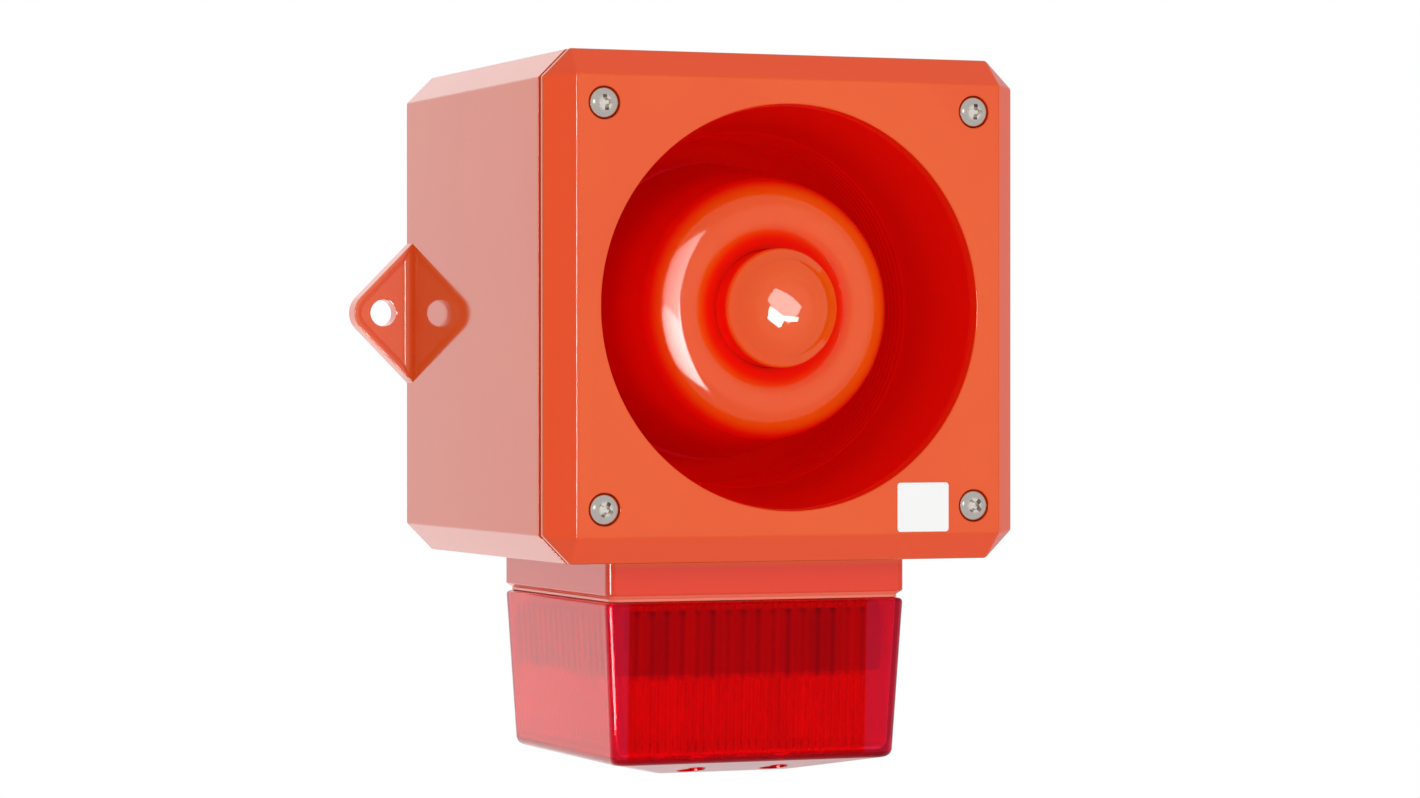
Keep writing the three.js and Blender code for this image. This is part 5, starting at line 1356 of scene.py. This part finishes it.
def dye_and_shade_values(tree, values, rows):
    """Adds the nodes of each row, which names its result and works on numbers or earlier results."""
    for name, operation, *inputs in rows:
        given = [values[i] if isinstance(i, str) else i for i in inputs]
        if operation == "NOISE":
            along, size_mm, low, high = given
            flat = add_node(tree, "ShaderNodeCombineXYZ", {"X": along})
            size = {"Vector": flat, "Scale": 1 / size_mm, "Detail": 1.0}
            noise = add_node(tree, "ShaderNodeTexNoise", size)
            operation, given = "RAMP", [noise, 0.35, 0.65, low, high]
        numbered_inputs = dict(enumerate(given))
        if operation == "RAMP":
            values[name] = add_node(tree, "ShaderNodeMapRange", numbered_inputs)
        else:
            values[name] = add_node(tree, "ShaderNodeMath", numbered_inputs, operation=operation)
    return values


def dye_and_shade_pattern(material):
    """Mixes the deeper reds with their painted shade, the pinker border and the low edge into a clear
    material by the values of the table.
    """
    tree = material.node_tree
    parts = add_node(tree, "ShaderNodeSeparateXYZ", {"Vector": tree.nodes[PLACE]}).outputs
    values = dye_and_shade_values(tree, {"across": parts["X"], "back": parts["Y"], "height": parts["Z"]}, DYE_AND_SHADE_ROWS)
    base_colour = tree.nodes[SHADER].inputs["Base Color"]
    tone = base_colour.default_value[:]
    for share, colour in (("deep dye", DEEP_DYE_AND_SHADE_RED), ("border", BORDER_AND_REFLECTION_PINK), ("low edge", LOW_EDGE_RED)):
        mix = {"Factor": values[share], MIX_A: tone, MIX_B: linear(colour)}
        tone = add_node(tree, "ShaderNodeMix", mix, data_type="RGBA").outputs[MIX_RESULT]
    tree.links.new(tone, base_colour)


dye_and_shade_pattern(red_polycarbonate)
print(len(DYE_AND_SHADE_ROWS), "rows of dye")

# %% Columns and pockets of the lens
LENS_COLUMN_R = 6.0
LENS_COLUMN_SEAT = 2.4
LENS_POCKET_R = 4.7
LENS_POCKET_DEPTH = 6.6
column_low = LENS_FOOT_Z + LENS_COLUMN_SEAT
column_top = post_end - RUN
pocket_top = LENS_FOOT_Z + LENS_POCKET_DEPTH
pocket_lip = LENS_POCKET_R + RUN
column_profile = [(0, column_low), (LENS_COLUMN_R, column_low), (LENS_COLUMN_R - 0.2, column_top - 0.4)]
column_profile += [(LENS_COLUMN_R - 0.6, column_top), (0, column_top)]
pocket_profile = [(0, LENS_FOOT_Z - PAST), (pocket_lip, LENS_FOOT_Z - PAST), (pocket_lip, LENS_FOOT_Z)]
pocket_profile += [(LENS_POCKET_R, LENS_FOOT_Z + RUN), (LENS_POCKET_R, pocket_top), (0, pocket_top)]
columns = [turned("column", column_profile, False, 48, "Z", middle(name)) for name in LENS_SCREWS]
pockets = [turned("pocket", pocket_profile, False, 48, "Z", middle(name)) for name in LENS_SCREWS]
shafts = rods(LENS_SCREWS, POST_HOLE_R, pocket_top - PAST, column_top + PAST, "Z", 32)
boolean(lens, [gather("columns", columns)], "UNION")
boolean(lens, [gather("pockets", pockets), gather("shafts", shafts)], "DIFFERENCE")
place_piece(lens, "lens", red_polycarbonate, "lens_red", "beacon_lens", smooth_angle=40)

# %% [markdown]
# A thin rubber seal lies between the base and the lens. Under it the strobe board carries the flash
# tube in its white holder, a storage capacitor, and the trigger coil, inside a black open shroud.

# %% Lens seal and shroud
SEAL_INSET = 2.0
SEAL_WIDTH = 1.8
SEAL_ROUND = 0.15
gasket_low, gasket_high = [corner.z for corner in corners("lens_gasket")]
gasket_levels = [(SEAL_INSET + SEAL_ROUND, gasket_high), (SEAL_INSET, (gasket_high + gasket_low) / 2)]
gasket_levels += [(SEAL_INSET + SEAL_ROUND, gasket_low), (SEAL_INSET + SEAL_WIDTH, gasket_low)]
gasket_levels.append((SEAL_INSET + SEAL_WIDTH, gasket_high))
lens_seal = loft("lens_seal", base_rings(gasket_levels, BASE_INNER_R), closed=True)
place_piece(lens_seal, "root", silicone_black, "seal_rubber", "lens_gasket")

SHROUD_WALL = 1.8
SHROUD_CORNER_R = 1.4
SHROUD_EDGE = 0.3
shroud_low, shroud_high = corners("inner_shroud")
outside = [(SHROUD_EDGE, shroud_high.z), (0, shroud_high.z - SHROUD_EDGE)]
outside += [(0, shroud_low.z + SHROUD_EDGE), (SHROUD_EDGE, shroud_low.z)]
shroud_levels = [(inset, z, SHROUD_CORNER_R) for inset, z in outside]
shroud_levels += [(SHROUD_WALL - inset, z, SHROUD_CORNER_R / 2) for inset, z in reversed(outside)]
shroud_rings = [flat_ring(shroud_low, shroud_high, *level, 5) for level in shroud_levels]
shroud = loft("strobe_shroud", shroud_rings, closed=True)
place_piece(shroud, "root", black_nylon, "black_plastic", "inner_shroud")

# %% Flash tube
TUBE_R = 2.4
TUBE_WALL = 0.6
TUBE_BEND_R = 6.0
TUBE_END = 2.5
TUBE_SEGMENTS = 24
LEG_STEPS = 8
BEND_STEPS = 24
tube_low, tube_high = [corner.z for corner in corners("xenon_tube")]
bend_z = tube_low + TUBE_END + TUBE_BEND_R
leg_places = [tube_high - (tube_high - bend_z) * i / LEG_STEPS for i in range(LEG_STEPS + 1)]
path = [Vector((-TUBE_BEND_R, BASE_MID_Y, z)) for z in leg_places]
for i in range(1, BEND_STEPS):
    t = math.pi * i / BEND_STEPS
    path.append(Vector((-TUBE_BEND_R * math.cos(t), BASE_MID_Y, bend_z - TUBE_BEND_R * math.sin(t))))
path += [Vector((TUBE_BEND_R, BASE_MID_Y, z)) for z in reversed(leg_places)]


def tube_rings(points, radius):
    """Rings round a path that lies in the X and Z plane."""
    rings = []
    for i, point in enumerate(points):
        ahead = points[min(i + 1, len(points) - 1)] - points[max(i - 1, 0)]
        side = Vector((ahead.z, 0, -ahead.x)).normalized()
        ring = []
        for k in range(TUBE_SEGMENTS):
            t = 2 * math.pi * k / TUBE_SEGMENTS
            ring.append(tuple(point + side * (radius * math.cos(t)) + Vector((0, radius * math.sin(t), 0))))
        rings.append(ring)
    return rings


tube = loft("flash_tube", tube_rings(path, TUBE_R))
boolean(tube, [loft("tube_bore", tube_rings(path[1:-1], TUBE_R - TUBE_WALL))], "DIFFERENCE")
place_piece(tube, "root", quartz, "tube_glass", "xenon_tube", smooth_angle=50)

# %% Tube holder
HOLDER_CORNER_R = 1.5
HOLDER_EDGE = 0.6
LEG_HOLE_R = 2.8
LEG_HOLE_DEPTH = 4.0
holder_low, holder_high = corners("tube_holder")
edges = round_edge(0, holder_low.z, HOLDER_EDGE, 1) + round_edge(0, holder_high.z, HOLDER_EDGE, -1)[::-1]
holder_rings = [flat_ring(holder_low, holder_high, inset, z, HOLDER_CORNER_R) for inset, z in edges]
holder = loft("flash_tube_holder", holder_rings)
hole_start, hole_end = holder_low.z - PAST, holder_low.z + LEG_HOLE_DEPTH
hole_lip_r = LEG_HOLE_R + HOLDER_EDGE
leg_profile = [(0, hole_start), (hole_lip_r, hole_start), (hole_lip_r, holder_low.z)]
leg_profile += [(LEG_HOLE_R, holder_low.z + HOLDER_EDGE), (LEG_HOLE_R, hole_end), (0, hole_end)]
leg_spots = [(side * TUBE_BEND_R, BASE_MID_Y, 0) for side in (-1, 1)]
leg_holes = [turned("hole", leg_profile, False, 40, "Z", spot) for spot in leg_spots]
boolean(holder, [gather("leg_holes", leg_holes)], "DIFFERENCE")
place_piece(holder, "root", white_nylon, "white_plastic", "tube_holder")

# %% Capacitors
def sleeved_can(radius, start, end, groove, crimp_at):
    """An aluminium can in its sleeve: rounded ends, and a rolled groove where the rubber is held."""
    crimp = end - crimp_at
    profile = [(0, start), (radius - 0.9, start), (radius - 0.35, start + 0.25, 0.2)]
    profile += [(radius, start + 1.0, 0.6), (radius, crimp - 1.1, 0.5), (radius - groove, crimp - 0.4, 0.4)]
    profile += [(radius - groove, crimp + 0.4, 0.4), (radius, crimp + 1.1, 0.5)]
    return eased(profile + [(radius, end - 0.5, 0.4), (radius - 1.1, end, 0.3), (0, end)])


CAPACITORS = [
    ("storage_capacitor", "strobe_capacitor", black_sleeve, "capacitor_black", 0.5, 3.2),
    ("filter_can", "filter_capacitor", blue_sleeve, "capacitor_blue", 0.4, 2.6),
]
for name, node, sleeve, slot, groove, crimp_at in CAPACITORS:
    low, high = corners(node)
    profile = sleeved_can((high.x - low.x) / 2, low.y, high.y, groove, crimp_at)
    capacitor = turned(name, profile, False, 64, "Y", middle(node))
    place_piece(capacitor, "root", sleeve, slot, node, smooth_angle=50)

# %% Trigger coil
WIRE_PITCH = 0.42
TURN_STEPS = 5
COIL_FLANGE = 1.2
WOUND_UNDER = 0.75
WOUND_BULGE = 0.2
low, high = corners("trigger_coil")
trigger_r = (high.x - low.x) / 2
wound_r = trigger_r - WOUND_UNDER
turns = int((high.z - low.z - 2 * COIL_FLANGE) / WIRE_PITCH)
wound = [(0, low.z), (trigger_r - 0.2, low.z), (trigger_r, low.z + 0.2), (trigger_r, low.z + COIL_FLANGE)]
for i in range(turns):
    z = low.z + COIL_FLANGE + WIRE_PITCH * i
    for k in range(TURN_STEPS):
        share = (k + 0.5) / TURN_STEPS
        wound.append((wound_r + WOUND_BULGE * math.sin(math.pi * share), z + WIRE_PITCH * share))
wound += [(trigger_r, high.z - COIL_FLANGE), (trigger_r, high.z - 0.2)]
wound += [(trigger_r - 0.2, high.z), (0, high.z)]
trigger = turned("trigger_winding", wound, False, 48, "Z", middle("trigger_coil"))
place_piece(trigger, "root", copper_wire, "coil_brown", "trigger_coil", smooth_angle=60)

# %% [markdown]
# Every screw on the alarm is a stainless pan head with a cross recess. They differ only in size and in
# where they sit, so a small node tree places them: it stands a head on each mark and repeats one turn
# of thread along the shank. The sizes are the tree's named inputs, and the marks are plain points.

# %% One head and one turn of thread, both one millimetre in radius
HEAD_SEGMENTS = 48
THREAD_SEGMENTS = 24
RECESS_ARM = 0.56
RECESS_HALF = 0.14
RECESS_FLOOR = -0.42
CUT_FROM = -1.2
head_curve = [(0, -1), (0.2, -0.985), (0.4, -0.94), (0.58, -0.865), (0.75, -0.74), (0.89, -0.56)]
head_curve += [(0.97, -0.37), (1, -0.2), (0.985, -0.05), (0.94, 0), (0, 0)]
unit_head = turned("unit_head", head_curve, False, HEAD_SEGMENTS)
wide = [(u * RECESS_ARM, v * RECESS_HALF) for u, v in ((-1, -1), (1, -1), (1, 1), (-1, 1))]
top = [(u * 1.1, v) for u, v in wide]
narrow = [(u * 0.55, v * 0.8) for u, v in wide]
arms = [loft("arm", [at_y(top, CUT_FROM), at_y(narrow, RECESS_FLOOR)]) for _ in range(2)]
for arm, degrees in zip(arms, (0, 90)):
    arm.data.transform(Matrix.Rotation(math.radians(degrees), 4, "Y"))
core_profile = [(0, CUT_FROM), (0.3, CUT_FROM), (0.16, RECESS_FLOOR), (0, RECESS_FLOOR + 0.12)]
boolean(unit_head, arms + [turned("core", core_profile, False, THREAD_SEGMENTS)], "DIFFERENCE")
thread_profile = [(0, 0), (0.84, 0), (0.84, 0.12), (0.99, 0.44), (0.99, 0.56)]
thread_profile += [(0.84, 0.88), (0.84, 1), (0, 1)]
unit_thread = turned("unit_thread", thread_profile, False, THREAD_SEGMENTS)
print("one head", len(unit_head.data.polygons), "faces, one turn", len(unit_thread.data.polygons))

# %% The tree that places screws
SCREW_INPUTS = {
    "Marks": "NodeSocketGeometry",
    "Head": "NodeSocketObject",
    "Thread": "NodeSocketObject",
    "Head Radius": "NodeSocketFloat",
    "Head Height": "NodeSocketFloat",
    "Shank Radius": "NodeSocketFloat",
    "Length": "NodeSocketFloat",
    "Pitch": "NodeSocketFloat",
    "Metal": "NodeSocketMaterial",
}


def screw_tree():
    """Marks in, screws out. The shank runs along +Y of each mark's own turn."""
    tree = bpy.data.node_groups.new("screws on marks", "GeometryNodeTree")
    keys = {}
    for name, kind in SCREW_INPUTS.items():
        keys[name] = tree.interface.new_socket(name, in_out="INPUT", socket_type=kind).identifier
    tree.interface.new_socket("Screws", in_out="OUTPUT", socket_type="NodeSocketGeometry")
    given = add_node(tree, "NodeGroupInput").outputs
    scales = []
    for radius, height in (("Head Radius", "Head Height"), ("Shank Radius", "Pitch")):
        size = {"X": given[radius], "Y": given[height], "Z": given[radius]}
        scales.append(add_node(tree, "ShaderNodeCombineXYZ", size))
    head = add_node(tree, "GeometryNodeObjectInfo", {"Object": given["Head"]}).outputs["Geometry"]
    one_head = add_node(tree, "GeometryNodeTransform", {"Geometry": head, "Scale": scales[0]})
    thread = add_node(tree, "GeometryNodeObjectInfo", {"Object": given["Thread"]}).outputs["Geometry"]
    turns = add_node(tree, "ShaderNodeMath", {0: given["Length"], 1: given["Pitch"]}, operation="DIVIDE")
    whole_turns = add_node(tree, "ShaderNodeMath", {0: turns}, operation="FLOOR")
    step_size = add_node(tree, "ShaderNodeMath", {0: given["Pitch"], 1: MM}, operation="MULTIPLY")
    step = add_node(tree, "ShaderNodeCombineXYZ", {"Y": step_size})
    line = add_node(tree, "GeometryNodeMeshLine", {"Count": whole_turns, "Offset": step})
    stacked = {"Points": line, "Instance": thread, "Scale": scales[1]}
    threads = add_node(tree, "GeometryNodeInstanceOnPoints", stacked)
    one_screw = add_node(tree, "GeometryNodeJoinGeometry")
    for part in (one_head, threads):
        tree.links.new(part.outputs[0], one_screw.inputs["Geometry"])
    turn_of = add_node(tree, "GeometryNodeInputNamedAttribute", {"Name": "turn"}, data_type="FLOAT_VECTOR")
    rotation = add_node(tree, "FunctionNodeEulerToRotation", {"Euler": turn_of.outputs["Attribute"]})
    placed = {"Points": given["Marks"], "Instance": one_screw, "Rotation": rotation}
    all_placed = add_node(tree, "GeometryNodeInstanceOnPoints", placed)
    real = add_node(tree, "GeometryNodeRealizeInstances", {"Geometry": all_placed})
    dressed = add_node(tree, "GeometryNodeSetMaterial", {"Geometry": real, "Material": given["Metal"]})
    add_node(tree, "NodeGroupOutput", {"Screws": dressed})
    return tree, keys


screws_on_marks, screw_keys = screw_tree()
print("screw tree", len(screws_on_marks.nodes), "nodes")

# %% All screws
FACING_FRONT = 0.0
FACING_BACK = math.pi
FACING_UP = -math.pi / 2
FACING_DOWN = math.pi / 2
LENS_SCREW_BITE = 12.0
LENS_SCREW_LENGTH = column_top - pocket_top + LENS_SCREW_BITE
SIZE_NAMES = ("Head Radius", "Head Height", "Shank Radius", "Length", "Pitch")


def screws(name, body, nodes, facing, sizes, first_turn, turn_step):
    """One mesh of screws that stand for CAD nodes, each with its head's under face on its seat."""
    given = dict(zip(SIZE_NAMES, sizes))
    length = given["Length"]
    axis = 1 if facing in (FACING_FRONT, FACING_BACK) else 2
    spots, turns = [], []
    for i, node in enumerate(nodes):
        low, high = corners(node)
        spot = (low + high) / 2
        head_low = facing in (FACING_FRONT, FACING_DOWN)
        spot[axis] = high[axis] - length if head_low else low[axis] + length
        spots.append(spot * MM)
        own_turn = Matrix.Rotation(first_turn + turn_step * i, 3, "Y")
        turns += (Matrix.Rotation(facing, 3, "X") @ own_turn).to_euler()
    marks = bpy.data.meshes.new(name + "_marks")
    marks.from_pydata(spots, [], [])
    marks.attributes.new("turn", "FLOAT_VECTOR", "POINT").data.foreach_set("vector", turns)
    piece = link_object(name, marks)
    maker = piece.modifiers.new("screws", "NODES")
    maker.node_group = screws_on_marks
    for key, value in {**given, "Head": unit_head, "Thread": unit_thread, "Metal": stainless}.items():
        maker[screw_keys[key]] = value
    bake_modifiers(piece)
    return place_piece(piece, body, stainless, "stainless_screws", *nodes)


# Each row: the body, the nodes, where the head faces, the five sizes, the first screw's turn and the step.
SCREWS = {
    "cover_screws": ("cover", COVER_SCREWS, FACING_FRONT, (5.05, 3.2, 2.5, 21.4, 0.8), 0.5, 0.9),
    "cup_screw": ("cover", ["reflector_screw"], FACING_FRONT, (4.5, 3.2, 2.5, 16.0, 0.8), 0.3, 0.0),
    "driver_screws": ("cover", DRIVER_SCREWS, FACING_BACK, (3.5, 2.6, 2.0, 11.0, 0.7), 0.2, 0.8),
    "beacon_screws": ("root", BEACON_SCREWS, FACING_UP, (3.8, 2.6, 2.0, 10.0, 0.7), 0.4, 1.1),
    "board_screws": ("root", BOARD_SCREWS, FACING_FRONT, (2.8, 2.0, 1.5, 6.6, 0.5), 0.6, 0.7),
    "strobe_screws": ("root", STROBE_SCREWS, FACING_DOWN, (2.8, 2.0, 1.5, 8.0, 0.5), 0.1, 0.5),
    "lens_screws": ("lens", LENS_SCREWS, FACING_DOWN, (3.8, 2.6, 2.0, LENS_SCREW_LENGTH, 0.7), 0.35, 0.6),
}
all_screws = {name: screws(name, *row) for name, row in SCREWS.items()}
for unit in (unit_head, unit_thread):
    bpy.data.objects.remove(unit)

# %% [markdown]
# The sticker is left blank: a white vinyl rectangle with round corners, as thick as two sheets of
# paper. The two blanking plugs close the cable entries, and a rubber bush lines the hole for the
# beacon's wires.

# %% Label
LABEL_CORNER_R = 1.0
LABEL_EDGE = 0.08
label_low, label_high = corners("blank_label")


def label_ring(inset, y):
    x0, x1 = label_low.x + inset, label_high.x - inset
    z0, z1 = label_low.z + inset, label_high.z - inset
    return at_y(rounded([(x1, z0), (x1, z1), (x0, z1), (x0, z0)], [LABEL_CORNER_R - inset] * 4, 8), y)


label_levels = [(0, label_high.y), (0, label_low.y + LABEL_EDGE), (LABEL_EDGE, label_low.y)]
label = loft("label", [label_ring(inset, y) for inset, y in label_levels])
place_piece(label, "cover", vinyl_white, "label_white", "blank_label")

# %% Blanking plugs
PLUG_FLANGE_R = 13.0
PLUG_CORNER_R = 1.2
PLUG_STEM_R = 10.0
PLUG_WALL = 2.5
PLUG_DISH = 1.0
plug_angles = [math.radians(60 * i) for i in range(6)]
hexagon = [(PLUG_FLANGE_R * math.sin(t), PLUG_FLANGE_R * math.cos(t)) for t in plug_angles]


def plug_ring(spot, inset, x):
    """The plug's hexagon, drawn in by an even distance."""
    share = 1 - inset / (PLUG_FLANGE_R * math.cos(math.pi / 6))
    outline = rounded([(u * share, v * share) for u, v in hexagon], [PLUG_CORNER_R * share] * 6, 4)
    return [(x, spot.y + u, spot.z + v) for u, v in outline]


for name in ENTRIES:
    spot = middle(name)
    low, high = corners(name)
    levels = [(0.2, HALF + SEAT), (0, HALF + SEAT + 0.2), (0, high.x - 0.5), (0.5, high.x)]
    levels += [(3.2, high.x), (3.7, high.x - PLUG_DISH)]
    plug = loft("blanking_plug_" + name.split("_")[-1], [plug_ring(spot, inset, x) for inset, x in levels])
    boolean(plug, rods([name], PLUG_STEM_R, low.x, HALF + PAST, "X", 64), "UNION")
    boolean(plug, rods([name], PLUG_STEM_R - PLUG_WALL, low.x - PAST, HALF, "X", 48), "DIFFERENCE")
    place_piece(plug, "root", black_nylon, "black_plastic", name)

# %% Wire bush
BUSH_BORE_R = 3.0
BUSH_FLANGE_H = 1.9
bush_low, bush_high = corners("wire_grommet")
bush_flange_r = (bush_high.x - bush_low.x) / 2
bush_flange_z = bush_high.z - BUSH_FLANGE_H
bush_r = WIRE_HOLE_R - RUN
bush_profile = [(BUSH_BORE_R, bush_low.z, 0.4), (bush_r, bush_low.z, 0.6), (bush_r, bush_flange_z)]
bush_profile += [(bush_flange_r, bush_flange_z, 0.6), (bush_flange_r, bush_high.z, 0.8)]
bush_profile.append((BUSH_BORE_R, bush_high.z, 0.6))
bush = turned("wire_bush", eased(bush_profile), segments=64, axis="Z", centre=(0, BASE_MID_Y, 0))
place_piece(bush, "root", silicone_black, "seal_rubber", "wire_grommet")

# %% [markdown]
# The pieces on the boards keep the model's own shapes, because they are plain blocks in life too. Each
# gets the finish of its real material.

# %% Finishes for the pieces that stay
FINISHES = {
    "control_board": green_board,
    "strobe_board": green_board,
    "beacon_terminals": green_pa,
    "supply_terminals": green_pa,
    "output_transformer": winding_tape,
    "tone_switch": switch_red_pa,
    "volume_trimmer": trimmer_blue_pbt,
    "volume_rotor": white_nylon,
    **{slider: white_nylon for slider in numbered("tone_slider", 4)},
}
for node, material in FINISHES.items():
    for slot in bpy.data.objects[node].material_slots:
        slot.material = material
print(len(FINISHES), "kept nodes have their finish")

# %% [markdown]
# The room is white, as in a product studio. Its light on the object stays soft and below full white, so
# that a colour looks as it is written, while the camera and glass see plain white. Mirrored rays see
# white in front and behind, where such a room has its bright walls, and grey at the sides, above and
# below. That keeps the walls and bevels of the box from going milky.

# %% Room
WORLD_LIGHT = 0.62
SIDE_LIGHT = 0.62
BRIGHT_AXIS = (0.342, -0.94, 0.0)
FRONT_STEP = (0.82, 0.97)
BACK_STEP = (-0.6, -0.84)


def seen_directly(tree):
    """One where a camera, mirror or glass ray arrives, and zero for light that scatters."""
    rays = add_node(tree, "ShaderNodeLightPath").outputs
    seen = {0: rays["Is Camera Ray"], 1: rays["Is Glossy Ray"]}
    through = {0: add_node(tree, "ShaderNodeMath", seen, operation="ADD"), 1: rays["Is Transmission Ray"]}
    return add_node(tree, "ShaderNodeMath", through, operation="ADD", use_clamp=True)


world = bpy.data.worlds.new("white room")
world.use_nodes = True
scene.world = world
room = world.node_tree
way = add_node(room, "ShaderNodeTexCoord").outputs["Generated"]
ahead = add_node(room, "ShaderNodeVectorMath", {0: way, 1: BRIGHT_AXIS}, operation="DOT_PRODUCT")
shades = []
for edges, low, high in ((FRONT_STEP, SIDE_LIGHT - 1.0, 0.0), (BACK_STEP, 0.0, 1.0 - SIDE_LIGHT)):
    step = {"From Min": edges[0], "From Max": edges[1], "To Min": low, "To Max": high}
    step["Value"] = ahead.outputs["Value"]
    shades.append(add_node(room, "ShaderNodeMapRange", step, interpolation_type="SMOOTHSTEP"))
shade = add_node(room, "ShaderNodeMath", dict(enumerate(shades)), operation="ADD")
glossy = add_node(room, "ShaderNodeLightPath").outputs["Is Glossy Ray"]
mirrored = add_node(room, "ShaderNodeMath", {0: glossy, 1: shade, 2: 1.0}, operation="MULTIPLY_ADD")
range_of_light = {"Value": seen_directly(room), "To Min": WORLD_LIGHT, "To Max": mirrored}
strength = add_node(room, "ShaderNodeMapRange", range_of_light)
set_inputs(room.nodes["Background"], {"Color": linear("#FFFFFF"), "Strength": strength})
print("world", len(room.nodes), "nodes")

# %% [markdown]
# One broad softbox in front adds the rest of the light, and it is never seen itself. All other lamps
# are only seen as reflections. Most are linked to one piece each: strips for the lens's corner, the base,
# the lid and the lugs, two cards that draw the crescent on the cup, and three patches that make the
# catchlight on the tip of its cap. A photo studio places such cards for each highlight too.

# %% Lamps
def softbox(name, place, aim, size, brightness, roll=0.0, spread=180.0, diffuse=False, only_on=()):
    """A lamp that looks at a point. It is seen as a reflection, or it lights without being seen."""
    data = bpy.data.lights.new(name, "AREA")
    data.shape = "RECTANGLE"
    data.size = size[0] * MM
    data.size_y = size[1] * MM
    data.energy = brightness * math.pi * data.size * data.size_y
    data.spread = math.radians(spread)
    lamp = bpy.data.objects.new(name, data)
    towards = (Vector(aim) - Vector(place)).to_track_quat("-Z", "Y").to_matrix().to_4x4()
    own_roll = Matrix.Rotation(math.radians(roll), 4, "Z")
    lamp.matrix_world = Matrix.Translation(Vector(place) * MM) @ towards @ own_roll
    lamp.visible_camera = False
    lamp.visible_transmission = False
    lamp.visible_diffuse = diffuse
    lamp.visible_glossy = not diffuse
    scene.collection.objects.link(lamp)
    if only_on:
        shown_on = bpy.data.collections.new(name + "_shown_on")
        for piece in only_on:
            shown_on.objects.link(piece)
        lamp.light_linking.receiver_collection = shown_on


CENTRE = (0, -121.5, 0)
CAP_TIP = (0, -144, 0)
CARD_Y = -168.0
CARD = {"spread": 130, "only_on": [cup]}
softbox("front_softbox", (-100, -1500, -50), CENTRE, (1400, 1000), 2.0, diffuse=True)
softbox("back_panel", (-387, 1900, 0), CENTRE, (1400, 2000), 0.42)
softbox("lens_strip", (-1817, -1059, -437), (-50, -120, -120), (900, 250), 220.0, only_on=[lens])
softbox("base_strip", (-1817, -1059, -180), (-50, -120, -85), (500, 300), 20.0, only_on=[base])
softbox("lid_strip", (-1650, -1370, 40), (-76, -140, 0), (280, 430), 40.0, only_on=[lid])
softbox("lug_strip", (-1817, -1059, 0), (-85, -10, 0), (500, 500), 16.0, only_on=[box_shell])
softbox("lug_low_strip", (-630, -640, -1200), (-95, -5, 0), (500, 500), 30.0, only_on=[box_shell])
softbox("pale_card", (-72, CARD_Y, 29), (-72, 0, 29), (82, 52), 4.0, -14, **CARD)
softbox("bright_card", (-72, CARD_Y, -26), (-72, 0, -26), (82, 60), 9.0, 8, **CARD)
glint_on = [all_screws["cover_screws"]]
softbox("screw_glint", (-1400, -1500, 300), (0, -147, 0), (500, 500), 1.6, only_on=glint_on)
softbox("pale_catchlight", (384, -1500, 113), CAP_TIP, (700, 360), 8.0, -39, only_on=[cap])
softbox("bright_catchlight", (240, -1500, -170), CAP_TIP, (400, 330), 22.0, -24, only_on=[cap])
softbox("small_catchlight", (624, -1500, -150), CAP_TIP, (240, 100), 22.0, -8, only_on=[cap])
print(len(bpy.data.lights), "lamps")

# %% [markdown]
# The floor is a pale disc far below. The camera sees it as near white, and it keeps the object's shadow.

# %% Floor
FLOOR_Z = -400.0
FLOOR_R = 1200.0
FLOOR_THICKNESS = 2.0
FLOOR_GLOW = 0.3
PAINT_MM = 4.0
floor = cylinder("floor", FLOOR_R, FLOOR_Z - FLOOR_THICKNESS, FLOOR_Z, "Z", segments=96)
floor_paint, paint_tree, paint_shader, place = start_material("matt white floor paint")
grains = {"Vector": place, "Scale": 1 / PAINT_MM, "Detail": 3.0}
paint_grain = add_node(paint_tree, "ShaderNodeTexNoise", grains)
glow_share = {0: seen_directly(paint_tree), 1: FLOOR_GLOW}
glow = add_node(paint_tree, "ShaderNodeMath", glow_share, operation="MULTIPLY")
paint = {"Emission Color": linear("#FFFFFF"), "Emission Strength": glow}
finish_shader(paint_shader, paint_grain, ("#F2F2F1", "#EEEEED"), 0.9, None, paint)
floor.data.materials.append(floor_paint)
floor.visible_glossy = False
print("floor", -FLOOR_Z, "under the middle")
